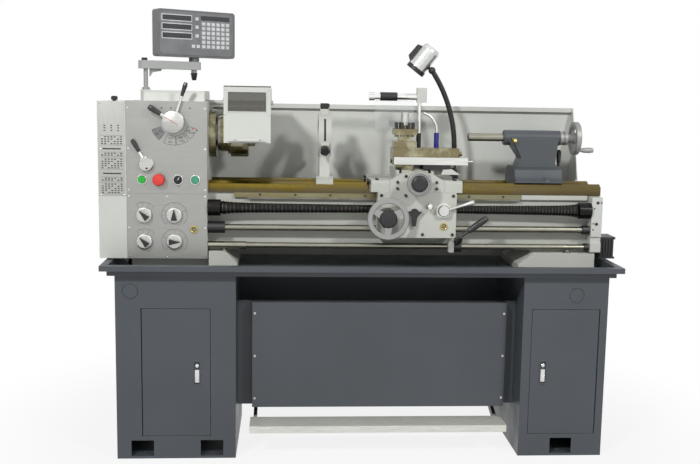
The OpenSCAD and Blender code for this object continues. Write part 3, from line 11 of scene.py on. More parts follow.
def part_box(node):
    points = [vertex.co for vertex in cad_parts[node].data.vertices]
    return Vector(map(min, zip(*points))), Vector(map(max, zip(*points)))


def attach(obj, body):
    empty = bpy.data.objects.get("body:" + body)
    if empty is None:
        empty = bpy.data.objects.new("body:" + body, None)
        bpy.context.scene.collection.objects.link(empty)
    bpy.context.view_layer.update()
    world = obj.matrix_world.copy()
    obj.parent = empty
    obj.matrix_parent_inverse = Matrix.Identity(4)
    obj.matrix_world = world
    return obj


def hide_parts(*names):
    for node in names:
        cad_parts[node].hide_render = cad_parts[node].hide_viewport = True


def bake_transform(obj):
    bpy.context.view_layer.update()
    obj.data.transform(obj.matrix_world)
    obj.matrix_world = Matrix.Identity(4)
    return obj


MM = 0.001
X_AXIS = Vector((1, 0, 0))
Y_AXIS = Vector((0, 1, 0))
Z_AXIS = Vector((0, 0, 1))
FRONT = Vector((0, -1, 0))

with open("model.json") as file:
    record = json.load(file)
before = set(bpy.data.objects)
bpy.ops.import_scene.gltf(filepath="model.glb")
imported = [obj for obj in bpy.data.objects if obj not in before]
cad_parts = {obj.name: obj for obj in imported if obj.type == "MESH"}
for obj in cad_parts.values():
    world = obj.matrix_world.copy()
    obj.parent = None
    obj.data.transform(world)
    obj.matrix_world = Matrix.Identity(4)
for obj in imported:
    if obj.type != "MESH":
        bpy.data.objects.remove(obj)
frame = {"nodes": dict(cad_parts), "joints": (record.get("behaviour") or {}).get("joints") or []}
NODES = frame["nodes"]
JOINTS = {joint["name"]: joint for joint in frame["joints"]}
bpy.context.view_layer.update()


def joint_at(name):
    """The point on a hinge's axis, in metres."""
    return Vector(JOINTS[name]["pos_m"])


def middle(node):
    """The middle of a node's box."""
    low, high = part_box(node)
    return (low + high) / 2


def mm(x, y, z):
    """A vector given in millimetres."""
    return Vector((x, y, z)) * MM


def off_axis(at, hub, axis):
    """How far a point lies from an axis through a hub."""
    return (at - hub).cross(axis).length


# Places on the lathe that several pieces share
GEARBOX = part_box("gearbox")
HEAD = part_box("headstock")
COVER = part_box("gear_cover")
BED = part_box("bed")
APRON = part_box("apron")
APRON_FACE = APRON[0].y + 30 * MM
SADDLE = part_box("saddle")
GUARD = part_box("chuck_guard")
SPINDLE_AT = joint_at("spindle_spin")
PANEL_Y = GEARBOX[0].y
PANEL_X = (GEARBOX[0].x, GEARBOX[1].x)
PANEL_TOP = SPINDLE_AT.z + 110 * MM
BED_TOP = SADDLE[0].z + 18 * MM
RACK_END = 550 * MM
GUARD_FRONT = GUARD[0].y + 12 * MM
STEADY_AT = Vector((middle("steady_rest").x, 0, SPINDLE_AT.z))
STEADY_FINGERS = [Matrix.Rotation(math.radians(angle), 3, "X") @ Y_AXIS for angle in (90, 210, 330)]
LEFT_KNOBS = ("upper_left_knob", "lower_left_knob")
RIGHT_KNOBS = ("upper_right_knob", "lower_right_knob")

# Bent neck of the work lamp: a straight foot, then an arc
NECK_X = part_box("work_lamp")[1].x - 14 * MM
NECK_Y = 75 * MM
NECK_RISE = BED_TOP + 115 * MM
NECK_BEND = 490 * MM
NECK_TURN = math.radians(35)


def neck_point(angle):
    """A point on the arc of the lamp's neck, at an angle from its straight foot."""
    x = NECK_X - NECK_BEND * (1 - math.cos(angle))
    return Vector((x, NECK_Y, NECK_RISE + NECK_BEND * math.sin(angle)))


# Camera
CAMERA_AT = (-0.2627, -3.3898, 1.2227)
CAMERA_TURN = (82.04, -0.946, -3.641)
LENS = 49.63
SENSOR = 36.0


def place_camera():
    """The photograph's viewpoint: a little left of the middle, slightly above the spindle."""
    data = bpy.data.cameras.new("camera")
    data.lens = LENS
    data.sensor_width = SENSOR
    camera = bpy.data.objects.new("camera", data)
    camera.location = CAMERA_AT
    camera.rotation_euler = [math.radians(angle) for angle in CAMERA_TURN]
    bpy.context.scene.collection.objects.link(camera)
    bpy.context.scene.camera = camera


# Nodes and shader maths
def plug(tree, socket, value):
    """Links a shader value or a node's output to a socket, or sets the socket to a plain value."""
    if isinstance(value, Value):
        value = value.socket
    if isinstance(value, bpy.types.NodeSocket):
        tree.links.new(value, socket)
    else:
        socket.default_value = value


def add_node(tree, kind, inputs=None, **settings):
    """Adds a node to a tree, sets it up and feeds its inputs."""
    node = tree.nodes.new(kind)
    for key, value in settings.items():
        setattr(node, key, value)
    for key, value in (inputs or {}).items():
        plug(tree, node.inputs[key], value)
    return node


class Value:
    """A shader value. Its operators add Math nodes to the finish that it belongs to."""

    def __init__(self, finish, socket):
        self.finish = finish
        self.socket = socket

    def _math(self, operation, first, second):
        return self.finish.add("ShaderNodeMath", {"operation": operation}, {0: first, 1: second})

    def __add__(self, other):
        return self._math("ADD", self, other)

    def __radd__(self, other):
        return self._math("ADD", other, self)

    def __sub__(self, other):
        return self._math("SUBTRACT", self, other)

    def __rsub__(self, other):
        return self._math("SUBTRACT", other, self)

    def __mul__(self, other):
        return self._math("MULTIPLY", self, other)

    def __rmul__(self, other):
        return self._math("MULTIPLY", other, self)

    def __truediv__(self, other):
        return self._math("DIVIDE", self, other)


# How a pattern is drawn out: evenly, or into lines along X
EVEN = (1, 1, 1)
ALONG_X = (0.03, 1, 1)


class Finish:
    """One material's node tree, built by adding nodes to its Principled shader."""

    def __init__(self, name):
        self.material = bpy.data.materials.new(name)
        self.material.use_nodes = True
        self.tree = self.material.node_tree
        self.shader = next(n for n in self.tree.nodes if n.type == "BSDF_PRINCIPLED")
        self.here = self.add("ShaderNodeTexCoord", output="Object")

    def add(self, kind, settings=None, inputs=None, output=0):
        """Adds a node, sets it up, feeds its inputs and returns one of its outputs."""
        node = add_node(self.tree, kind, inputs, **(settings or {}))
        return Value(self, node.outputs[output])

    def noise(self, scale, detail, stretch=EVEN):
        """Noise of a scale per metre, from 0 to 1, drawn out along an axis by stretch."""
        place = self.here
        if stretch != EVEN:
            place = self.add("ShaderNodeMapping", inputs={"Vector": place, "Scale": stretch})
        return self.add("ShaderNodeTexNoise", inputs={"Vector": place, "Scale": scale, "Detail": detail})

    def spread(self, value, low, high, out_low=0.0, out_high=1.0):
        """Maps a value's range from low to high, clamped, onto another range."""
        return self.add(
            "ShaderNodeMapRange",
            {"interpolation_type": "SMOOTHSTEP"},
            {0: value, 1: low, 2: high, 3: out_low, 4: out_high},
        )

    def mix(self, factor, first, second):
        """Mixes two colours."""
        return self.add("ShaderNodeMix", {"data_type": "RGBA"}, {0: factor, 6: first, 7: second}, output=2)

    def axis(self, name):
        """One coordinate of the point, in metres."""
        return self.add("ShaderNodeSeparateXYZ", inputs={0: self.here}, output=name)

    def bump(self, height, distance, strength, edge):
        """A bump of a height map in metres, over a normal that rounds edges by a radius."""
        inputs = {"Height": height, "Distance": distance, "Strength": strength}
        inputs["Normal"] = self.add("ShaderNodeBevel", {"samples": 4}, {"Radius": edge})
        return self.add("ShaderNodeBump", inputs=inputs)

    def edge_wear(self, radius):
        """A mask that is 1 on the edges of a piece, from the turn of a rounded normal."""
        round_normal = self.add("ShaderNodeBevel", {"samples": 4}, {"Radius": radius})
        flat_normal = self.add("ShaderNodeNewGeometry", output="True Normal")
        normals = {0: round_normal, 1: flat_normal}
        align = self.add("ShaderNodeVectorMath", {"operation": "DOT_PRODUCT"}, normals, "Value")
        return self.spread(1 - align, 0.05, 0.25)

    def shade(self, **sockets):
        """Sets the shader's sockets; an underscore stands for a space."""
        for key, value in sockets.items():
            plug(self.tree, self.shader.inputs[key.replace("_", " ")], value)
        return self.material


def srgb(red, green, blue):
    """A colour as seen on a screen, 0 to 255, as the linear colour that shaders take."""

    def linear(level):
        level /= 255
        return level / 12.92 if level <= 0.04045 else ((level + 0.055) / 1.055) ** 2.4

    return (linear(red), linear(green), linear(blue), 1.0)


def shaded(colour, factor):
    """A colour made darker or lighter."""
    return tuple(min(1.0, level * factor) for level in colour[:3]) + (1.0,)


def enamel(name, colour, rough=0.42, peel=0.12 * MM, grain=700.0, wear=None):
    """Sprayed enamel: faint mottling, orange peel, softly rounded edges with slight wear."""
    finish = Finish(name)
    cloud = finish.noise(3.0, 4.0)
    speck = finish.noise(grain, 2.0)
    tone = finish.mix(finish.spread(cloud, 0.3, 0.7), shaded(colour, 0.93), shaded(colour, 1.06))
    # Real wear: paint rubbed lighter on the edges.
    lighter_edges = finish.edge_wear(2.5 * MM) * finish.spread(finish.noise(60.0, 4.0), 0.42, 0.62)
    tone = finish.mix(lighter_edges * 0.55, tone, wear or shaded(colour, 1.5))
    smudge = finish.spread(finish.noise(9.0, 5.0), 0.35, 0.7, -0.06, 0.08)
    return finish.shade(
        Base_Color=tone,
        Roughness=smudge + rough,
        Normal=finish.bump(speck, peel, 0.5, edge=1.6 * MM),
        Specular_IOR_Level=0.45,
    )


def brushed(name, colour, stretch, rough, metallic, depth=0.1):
    """Brushed metal with fine lines along one axis, of a depth of tone, and faint handling marks."""
    finish = Finish(name)
    lines = finish.noise(420.0, 6.0, stretch)
    cloud = finish.noise(7.0, 3.0)
    low = shaded(colour, 1 - 1.3 * depth)
    high = shaded(colour, 1 + depth)
    tone = finish.mix(finish.spread(lines, 0.25, 0.75), low, high)
    tone = finish.mix(finish.spread(cloud, 0.45, 0.75) * 0.25, tone, shaded(colour, 0.8))
    return finish.shade(
        Base_Color=tone,
        Metallic=metallic,
        Roughness=finish.spread(lines, 0.2, 0.8, rough - 0.08, rough + 0.12),
        Normal=finish.bump(lines, 0.05 * MM, 0.35, edge=1 * MM),
    )


def oiled(name, metal, oil, amount, stretch, rough, shade_heights=None, paint_from=None):
    """Machined iron under patches of yellow oil, with painted shade that darkens it towards the bottom
    between two heights; painted casting past an X.
    """
    finish = Finish(name)
    lines = finish.noise(300.0, 5.0, stretch)
    patch = finish.noise(16.0, 5.0, tuple(max(share, 0.2) for share in stretch))
    fine = finish.noise(90.0, 4.0)
    film = finish.spread(patch * 0.85 + fine * 0.15, 0.62 - amount * 0.4, 0.78 - amount * 0.4)
    tone = finish.mix(finish.spread(lines, 0.3, 0.7), shaded(metal, 0.9), shaded(metal, 1.06))
    tone = finish.mix(film * 0.75, tone, oil)
    metallic = 1 - film * 0.35
    # Painted shade: a darker oil colour towards the bottom, between the two heights.
    if shade_heights:
        tone = finish.mix(finish.spread(finish.axis("Z"), *shade_heights, 0.75, 0.0), tone, shaded(oil, 0.5))
    if paint_from:
        bare = finish.spread(finish.axis("X"), paint_from, paint_from + 1 * MM, 1.0, 0.0)
        tone = finish.mix(bare, PALE_CAST, tone)
        metallic = metallic * bare
    return finish.shade(
        Base_Color=tone,
        Metallic=metallic,
        Roughness=finish.spread(fine, 0.3, 0.7, rough - 0.04, rough + 0.06),
        Coat_Weight=film * 0.5,
        Coat_Roughness=0.12,
        Normal=finish.bump(lines, 0.03 * MM, 0.3, edge=0.8 * MM),
    )


def spring_strip(name, start, pitch):
    """Blackened spring strip with a painted highlight along the edge of each turn, counted from a start along
    X.
    """
    finish = Finish(name)
    grain = finish.noise(60.0, 4.0)
    count = (finish.axis("X") - start) / pitch
    turn = finish.add("ShaderNodeMath", {"operation": "FRACT"}, {0: count})
    # Painted highlight: a lighter stripe near the end of each turn, broken up by noise.
    edge = finish.spread(turn, 0.55, 0.9) * finish.spread(turn, 0.9, 1.0, 1.0, 0.0)
    edge = edge * finish.spread(count, -0.5, 0.0)
    lighter_edges = edge * finish.spread(grain, 0.35, 0.65, 0.3, 1.0)
    return finish.shade(
        Base_Color=finish.mix(lighter_edges, srgb(33, 32, 31), srgb(84, 83, 78)),
        Metallic=0.85,
        Roughness=finish.spread(grain, 0.3, 0.7, 0.2, 0.32),
    )


def polished(name, colour, rough):
    """Bright plated or polished metal with fine wiping marks."""
    finish = Finish(name)
    wipe = finish.noise(40.0, 6.0)
    tone = finish.mix(finish.spread(wipe, 0.35, 0.7), shaded(colour, 0.9), colour)
    return finish.shade(
        Base_Color=tone,
        Metallic=1.0,
        Roughness=finish.spread(wipe, 0.3, 0.75, rough - 0.04, rough + 0.1),
        Normal=finish.bump(wipe, 0.03 * MM, 0.3, edge=0.8 * MM),
    )


def moulded(name, colour, rough, grain=1400.0, coat=0.0):
    """Moulded plastic with a fine texture."""
    finish = Finish(name)
    texture = finish.noise(grain, 2.0)
    cloud = finish.noise(25.0, 3.0)
    tone = finish.mix(finish.spread(cloud, 0.3, 0.7), shaded(colour, 0.9), shaded(colour, 1.1))
    return finish.shade(
        Base_Color=tone,
        Roughness=finish.spread(cloud, 0.3, 0.7, rough - 0.05, rough + 0.07),
        Coat_Weight=coat,
        Normal=finish.bump(texture, 0.08 * MM, 0.4, edge=0.8 * MM),
    )


def clear_sheet(name, tint, alpha):
    """Clear polycarbonate: a thin tinted film with fine scratches."""
    finish = Finish(name)
    scratch = finish.spread(finish.noise(220.0, 6.0, (1, 1, 0.08)), 0.62, 0.72)
    return finish.shade(
        Base_Color=tint,
        Roughness=finish.spread(scratch, 0.0, 1.0, 0.06, 0.3),
        Alpha=finish.spread(scratch, 0.0, 1.0, alpha, alpha + 0.15),
        Specular_IOR_Level=0.6,
    )


SLATE = srgb(74, 79, 84)
PALE = srgb(204, 206, 200)
PALE_CAST = srgb(192, 194, 186)
OIL = srgb(82, 67, 22)
IRON_OIL = srgb(92, 76, 26)
GEAR_OIL = srgb(120, 96, 36)
RACK_OIL = srgb(112, 98, 48)
CAST_PEEL = 0.3 * MM

slate = enamel("slate_enamel", SLATE, 0.4, wear=srgb(120, 126, 130))
slate_cast = enamel("slate_casting", srgb(75, 80, 84), 0.45, CAST_PEEL, 320.0, wear=srgb(125, 130, 134))
pale = enamel("pale_enamel", PALE, 0.42, wear=srgb(225, 226, 220))
pale_cast = enamel("pale_casting", PALE_CAST, 0.5, CAST_PEEL, 300.0, wear=srgb(222, 222, 214))
panel = brushed("panel_aluminium", srgb(160, 160, 156), ALONG_X, 0.42, 0.7, 0.05)
aluminium = brushed("bar_aluminium", srgb(205, 206, 202), ALONG_X, 0.36, 0.75)
tread = brushed("tread_aluminium", srgb(220, 221, 212), (0.05, 1, 1), 0.5, 0.3)
lamp_shell = brushed("lamp_aluminium", srgb(206, 208, 206), EVEN, 0.24, 0.95)
# Heights of the painted shade at the bottom of the ways' front face
way_shade_heights = (BED_TOP - 30 * MM, BED_TOP - 4 * MM)
ways = oiled("oiled_ways", srgb(118, 102, 42), OIL, 0.7, ALONG_X, 0.2, way_shade_heights)
brassy = oiled("oiled_iron", srgb(150, 146, 122), IRON_OIL, 0.55, (1, 0.05, 1), 0.22)
gear_steel = oiled("oiled_gears", srgb(170, 168, 160), GEAR_OIL, 0.3, EVEN, 0.3)
ground = brushed("ground_steel", srgb(138, 137, 124), ALONG_X, 0.26, 0.95, 0.05)
rack_steel = oiled("rack_steel", srgb(126, 124, 100), RACK_OIL, 0.35, ALONG_X, 0.36, paint_from=RACK_END)
wheel_grey = brushed("cast_handwheel", srgb(152, 153, 150), EVEN, 0.45, 0.5, 0.03)
turned = brushed("turned_steel", srgb(196, 196, 192), (1, 0.2, 1), 0.3, 0.9)
chrome = polished("bright_chrome", srgb(224, 224, 222), 0.1)
satin = polished("satin_chrome", srgb(198, 199, 196), 0.28)
black = moulded("black_plastic", srgb(24, 24, 25), 0.42)
black_gloss = moulded("black_grip", srgb(18, 18, 19), 0.22, 900.0, 0.4)
black_steel = moulded("blackened_steel", srgb(34, 34, 33), 0.36, 500.0)
rubber = moulded("belt_rubber", srgb(28, 28, 28), 0.7, 500.0)
clear = clear_sheet("clear_shield", srgb(225, 232, 232), 0.1)
smoked = clear_sheet("guard_window", srgb(84, 83, 72), 0.78)
green = moulded("green_button", srgb(20, 175, 45), 0.3, 900.0, 0.3)
teal = moulded("pale_green_button", srgb(60, 150, 118), 0.3, 900.0, 0.3)
red = moulded("red_button", srgb(216, 52, 44), 0.35, 900.0, 0.3)
blue = moulded("blue_tap", srgb(24, 30, 128), 0.35, 900.0, 0.3)
print_dark = moulded("dark_print", srgb(46, 46, 48), 0.55)
print_red = moulded("red_print", srgb(196, 60, 44), 0.5)
case_grey = moulded("readout_case", srgb(104, 106, 108), 0.45, 900.0)
face_grey = moulded("readout_face", srgb(119, 121, 123), 0.4, 900.0)
arm_grey = enamel("readout_arm", srgb(172, 174, 172), 0.45)
screen = moulded("readout_window", srgb(34, 36, 40), 0.2, 900.0, 0.5)
key_white = moulded("readout_keys", srgb(214, 216, 218), 0.5)
hub_face = brushed("hub_caps", srgb(190, 190, 186), (0.06, 1, 1), 0.34, 0.8)
brass = polished("brass_rim", srgb(196, 176, 112), 0.2)
oil_glass = moulded("sight_glass", srgb(120, 116, 84), 0.15, 900.0, 0.6)
key_plate = moulded("readout_keypad", srgb(132, 133, 134), 0.5)
plate = brushed("chart_plate", srgb(180, 181, 176), (1, 1, 0.05), 0.45, 0.35, 0.05)


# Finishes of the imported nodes
def dress(node, finishes, pick=None):
    """Gives a node its finishes. pick chooses one of them for a face, from its centre and normal."""
    mesh = NODES[node].data
    mesh.materials.clear()
    for finish in finishes:
        mesh.materials.append(finish)
    for face in mesh.polygons:
        face.material_index = int(pick(face.center, face.normal)) if pick else 0


def dress_nodes():
    """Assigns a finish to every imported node, face by face where a casting is partly machined."""
    cabinets = ("left_cabinet", "right_cabinet", "left_door", "right_door")
    for finish, nodes in (
        (slate, cabinets + ("stand_panels", "chip_tray", "motor")),
        (pale, ("splash_guard", "rod_bracket")),
        (gear_steel, ("motor_pulley", "drive_pulley", "idler_gear", "gearbox_gear")),
        (ground, ("lead_screw", "control_rod", "quill", "spindle")),
        (black, ("junction_box", "feed_lever", "mode_switch")),
        (black_steel, ("control_lever", "tailstock_clamp", "left_screw_cover", "right_screw_cover")),
        (rubber, ("drive_belt",)),
        (green, ("start_button",)),
        (teal, ("coolant_button",)),
        (red, ("stop_button",)),
        (case_grey, ("dro_display",)),
        (brassy, ("chuck",)),
        (satin, ("half_nut_lever",)),
        (wheel_grey, ("tailstock_wheel",)),
    ):
        for node in nodes:
            dress(node, [finish])
    dress_stand()
    dress_carriage()
    dress_shield_and_lamp()
    dress_tailstock()
    dress_guard_and_steady()
    dress_controls()


def dress_stand():
    """Bed, headstock, gearbox, end cover, brake pedal and readout arm."""
    arm_foot = PANEL_TOP + 100 * MM
    dress("dro_arm", [arm_grey, wheel_grey], lambda at, way: at.z < arm_foot)
    way_edge = BED_TOP - 30.5 * MM
    rack_edge = way_edge - 16 * MM
    rack_back = BED[0].y + 46.5 * MM

    def bed_finish(at, way):
        if at.z > way_edge:
            return 1
        return 2 if at.z > rack_edge and at.y < rack_back else 0

    dress("bed", [pale_cast, ways, rack_steel], bed_finish)
    front_face = PANEL_Y + 0.2 * MM
    flange = PANEL_X[1] + 2 * MM

    def head_finish(at, way):
        return 2 if at.x > flange else at.y < front_face

    dress("headstock", [pale, panel, brassy], head_finish)
    dress("gearbox", [pale, panel], lambda at, way: at.y < front_face)
    cover_knob = PANEL_TOP - 2 * MM
    dress("gear_cover", [pale, black], lambda at, way: at.z > cover_knob)
    pedal = middle("brake_pedal")
    dress("brake_pedal", [tread, slate], lambda at, way: at.y >= pedal.y or abs(way.x) >= 0.9)


def dress_carriage():
    """Saddle, apron, slides, handwheels and tool post."""
    machined_z = SADDLE[1].z - 25 * MM
    machined_y = SADDLE[0].y + 34 * MM
    dress("saddle", [pale_cast, ways], lambda at, way: at.z > machined_z and at.y > machined_y)
    knob_y = APRON[0].y + 29.5 * MM
    knob_x = 200 * MM
    dress("apron", [pale_cast, chrome], lambda at, way: at.y < knob_y and at.x > knob_x)
    dress("cross_slide", [pale_cast, ways], lambda at, way: way.z > 0.5)
    hub = joint_at("carriage_wheel_turn")
    dial = 30.5 * MM
    dress("carriage_wheel", [wheel_grey, black], lambda at, way: off_axis(at, hub, Y_AXIS) < dial)
    screw = joint_at("cross_wheel_turn")
    wheel_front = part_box("cross_wheel")[0].y + 12 * MM
    boss = 26.2 * MM

    def cross_wheel_finish(at, way):
        return at.y < wheel_front and off_axis(at, screw, Y_AXIS) < boss

    dress("cross_wheel", [wheel_grey, black], cross_wheel_finish)
    low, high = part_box("compound_base")
    swivel = joint_at("compound_swivel")
    scale_y = swivel.y - 38.5 * MM
    reader_low = low.z + 17 * MM
    reader_right = high.x - 34 * MM

    def compound_finish(at, way):
        if at.y > scale_y or at.x < swivel.x:
            return 0
        return 1 if at.z > reader_low and at.x < reader_right else 2

    dress("compound_base", [brassy, black, pale], compound_finish)
    scale_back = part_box("top_slide")[0].y + 19.5 * MM
    dress("top_slide", [brassy, aluminium], lambda at, way: at.y < scale_back)
    clamp_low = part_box("tool_post")[1].z - 56 * MM
    post_at = joint_at("tool_post_turn")
    nut = 13.5 * MM
    seat = 20.5 * MM

    def post_finish(at, way):
        reach = off_axis(at, post_at, Z_AXIS)
        if at.z < clamp_low or nut <= reach < seat:
            return 0
        return 2 if reach < nut else 1

    dress("tool_post", [brassy, black_steel, turned], post_finish)


def dress_shield_and_lamp():
    """Shield post with its coolant pipe, clear shield and work lamp."""
    low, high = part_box("shield_post")
    tube = joint_at("tool_shield_swing")
    foot_top = low.z + 6.5 * MM
    tap_x = high.x - 16 * MM
    tap_top = low.z + 125 * MM
    tap_reach = 9.5 * MM
    hose_x = tap_x - 64 * MM
    hose_top = low.z + 123 * MM
    hose_reach = 9 * MM
    clamp_x = high.x - 124 * MM
    clamp_z = tube.z - 21 * MM

    def post_finish(at, way):
        if at.z < foot_top:
            return 0
        if abs(at.x - tap_x) < tap_reach and at.z < tap_top:
            return 2
        if at.z > clamp_z and at.x > clamp_x:
            return 0
        return 3 if abs(at.x - hose_x) < hose_reach and at.z < hose_top else 1

    dress("shield_post", [pale, chrome, blue, black], post_finish)
    sleeve = 15.5 * MM
    dress("tool_shield", [clear, black], lambda at, way: off_axis(at, tube, X_AXIS) < sleeve)
    head_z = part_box("work_lamp")[1].z - 128 * MM
    mouth = -24.5 * MM
    shell_reach = 34.5 * MM
    hollow_reach = 29 * MM
    hollow_top = 40 * MM
    centre, axis = lamp_axis()

    def lamp_finish(at, way):
        along = (at - centre).dot(axis)
        reach = off_axis(at, centre, axis)
        inside = reach < hollow_reach and along < hollow_top
        return at.z > head_z and along > mouth and reach < shell_reach and not inside

    dress("work_lamp", [black, lamp_shell], lamp_finish)


def lamp_axis():
    """Centre and upward axis of the lamp head, from the ball at the end of the neck."""
    head_turn = math.radians(-12)
    head_tilt = math.radians(38)
    turn = Matrix.Rotation(head_turn, 3, "Z") @ Matrix.Rotation(head_tilt, 3, "Y")
    ball = neck_point(NECK_TURN)
    return ball + turn @ mm(-48, 0, 0), turn @ Z_AXIS


def dress_tailstock():
    """Tailstock casting with its brass lock."""
    barrel_y = -30 * MM
    lock_z = SPINDLE_AT.z - 20 * MM
    lock_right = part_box("tailstock")[0].x + 43 * MM

    def tail_finish(at, way):
        return at.y < barrel_y and at.z > lock_z and at.x < lock_right

    dress("tailstock", [slate_cast, brass], tail_finish)


def dress_guard_and_steady():
    """Chuck guard with its window, fixed steady and feed rod."""
    glass = (GUARD_FRONT + 2.7 * MM, GUARD_FRONT + 7.1 * MM)
    window_low = SPINDLE_AT.z + 60 * MM
    window_left = GUARD[0].x + 100 * MM

    def guard_finish(at, way):
        return glass[0] < at.y < glass[1] and at.z > window_low and at.x > window_left

    dress("chuck_guard", [pale, smoked], guard_finish)
    knob_from = 89.5 * MM
    knob_reach = 14.2 * MM
    finger_reach = 51.5 * MM

    def steady_finish(at, way):
        for out in STEADY_FINGERS:
            if (at - STEADY_AT).dot(out) > knob_from and off_axis(at, STEADY_AT, out) < knob_reach:
                return 2
        return off_axis(at, STEADY_AT, X_AXIS) < finger_reach

    dress("steady_rest", [pale_cast, ground, black], steady_finish)
    rod = joint_at("feed_rod_spin")
    collar = 11.5 * MM
    dress("feed_rod", [ground, black], lambda at, way: off_axis(at, rod, X_AXIS) > collar)


def dress_controls():
    """Levers with black grips and knobs with black pointers."""
    for lever, grip in (("speed_lever", 47), ("range_lever", 89), ("reverse_lever", 46)):
        hub = joint_at(lever + "_turn")
        dress(lever, [chrome, black_gloss], lambda at, way: off_axis(at, hub, Y_AXIS) > grip * MM)
    pointer_y = PANEL_Y - 12.3 * MM
    for knob in LEFT_KNOBS + RIGHT_KNOBS:
        dress(knob, [turned, black], lambda at, way: at.y < pointer_y)


# Shapes
def make_piece(name, shape, body, finish, smooth=40.0):
    """Makes an object of a bmesh, smooths it below an angle and lets it ride on a body."""
    bmesh.ops.remove_doubles(shape, verts=shape.verts, dist=1e-7)
    bmesh.ops.recalc_face_normals(shape, faces=shape.faces)
    mesh = bpy.data.meshes.new(name)
    shape.to_mesh(mesh)
    shape.free()
    mesh.materials.append(finish)
    mesh.polygons.foreach_set("use_smooth", [True] * len(mesh.polygons))
    mesh.set_sharp_from_angle(angle=math.radians(smooth))
    piece = bpy.data.objects.new(name, mesh)
    bpy.context.scene.collection.objects.link(piece)
    if body:
        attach(piece, body)
    return piece


def box_piece(name, ends, bevel, body, finish, turn=None):
    """One box between two corners as a piece of its own."""
    shape = bmesh.new()
    add_box(shape, *ends, bevel, turn)
    make_piece(name, shape, body, finish)


def turned_piece(name, outline, at, segments, body, finish, axis=FRONT):
    """One turned solid as a piece of its own, towards the front unless an axis is given."""
    shape = bmesh.new()
    add_turned(shape, outline, at, axis, segments)
    make_piece(name, shape, body, finish)


def add_box(shape, low, high, bevel=0.0, turn=None):
    """Adds a box between two corners with its edges bevelled, then turned by a matrix."""
    low = Vector(low)
    high = Vector(high)
    place = Matrix.Translation((low + high) / 2) @ Matrix.Diagonal((*(high - low), 1))
    made = bmesh.ops.create_cube(shape, size=1.0, matrix=place)["verts"]
    if bevel:
        edges = list({edge for vert in made for edge in vert.link_edges})
        settings = {"offset": bevel, "segments": 2, "profile": 0.7, "affect": "EDGES"}
        made = bmesh.ops.bevel(shape, geom=edges, **settings)["verts"]
    if turn:
        bmesh.ops.transform(shape, matrix=turn, verts=made)


def add_turned(shape, outline, at, axis, segments):
    """Adds a turned solid: outline points are radius and distance along the axis, in millimetres."""
    side = axis.orthogonal().normalized()
    other = axis.cross(side)
    rings = []
    for radius, along in outline:
        centre = Vector(at) + axis * (along * MM)
        if not radius:
            rings.append([shape.verts.new(centre)])
            continue
        ring = []
        for step in range(segments):
            angle = 2 * math.pi * step / segments
            out = side * math.cos(angle) + other * math.sin(angle)
            ring.append(shape.verts.new(centre + out * (radius * MM)))
        rings.append(ring)
    for first, second in zip(rings, rings[1:]):
        join_rings(shape, first, second)


def join_rings(shape, first, second):
    """Joins two rings of points, or a ring and a single point, with faces."""
    count = max(len(first), len(second))
    for step in range(count):
        corners = [
            first[step % len(first)],
            first[(step + 1) % len(first)],
            second[(step + 1) % len(second)],
            second[step % len(second)],
        ]
        unique = list(dict.fromkeys(corners))
        if len(unique) > 2:
            shape.faces.new(unique)


def add_slab(shape, outline, at, across, up, thick):
    """Adds a flat plate: its outline in the plane of two directions and its thickness, in millimetres."""
    normal = across.cross(up)
    back = [shape.verts.new(Vector(at) + (across * a + up * b) * MM) for a, b in outline]
    face = [shape.verts.new(vert.co + normal * (thick * MM)) for vert in back]
    shape.faces.new(back[::-1])
    shape.faces.new(face)
    for step in range(len(back)):
        follow = (step + 1) % len(back)
        shape.faces.new([back[step], back[follow], face[follow], face[step]])


def arc(radius, first, last, steps):
    """Points of an arc between two angles in degrees."""
    span = (last - first) / steps
    angles = [math.radians(first + span * step) for step in range(steps + 1)]
    return [(radius * math.cos(angle), radius * math.sin(angle)) for angle in angles]


def rounded(width, height, radius):
    """Outline of a rounded rectangle about its middle."""
    points = []
    for index, (sx, sy) in enumerate(((1, 1), (-1, 1), (-1, -1), (1, -1))):
        centre = Vector((sx * (width / 2 - radius), sy * (height / 2 - radius)))
        for a, b in arc(radius, 90 * index, 90 * index + 90, 6):
            points.append((centre.x + a, centre.y + b))
    return points


# Geometry node trees for what repeats
def new_tree(name, sockets):
    """An empty geometry tree with its named inputs, the last for a finish, and its input and output nodes."""
    tree = bpy.data.node_groups.new(name, "GeometryNodeTree")
    tree.interface.new_socket("Geometry", in_out="INPUT", socket_type="NodeSocketGeometry")
    for label, kind in {**sockets, "Finish": "Material"}.items():
        tree.interface.new_socket(label, in_out="INPUT", socket_type="NodeSocket" + kind)
    tree.interface.new_socket("Geometry", in_out="OUTPUT", socket_type="NodeSocketGeometry")
    return tree, tree.nodes.new("NodeGroupInput"), tree.nodes.new("NodeGroupOutput")


def set_out(tree, entry, leave, shape):
    """Ends a tree: sets a shape out on the points, by their aim and along directions, as one plain mesh."""
    aim = add_node(tree, "GeometryNodeInputNamedAttribute", {"Name": "aim"}, data_type="FLOAT_VECTOR")
    along = add_node(tree, "GeometryNodeInputNamedAttribute", {"Name": "along"}, data_type="FLOAT_VECTOR")
    stand = add_node(tree, "FunctionNodeAlignRotationToVector", {"Vector": aim.outputs[0]}, axis="Z")
    turn = add_node(
        tree,
        "FunctionNodeAlignRotationToVector",
        {"Rotation": stand.outputs[0], "Vector": along.outputs[0]},
        axis="X",
        pivot_axis="Z",
    )
    spread = add_node(
        tree,
        "GeometryNodeInstanceOnPoints",
        {"Points": entry.outputs["Geometry"], "Instance": shape, "Rotation": turn.outputs[0]},
    )
    whole = add_node(tree, "GeometryNodeRealizeInstances", {"Geometry": spread.outputs[0]})
    painted = add_node(
        tree, "GeometryNodeSetMaterial", {"Geometry": whole.outputs[0], "Material": entry.outputs["Finish"]}
    )
    tree.links.new(painted.outputs[0], leave.inputs[0])
    return tree


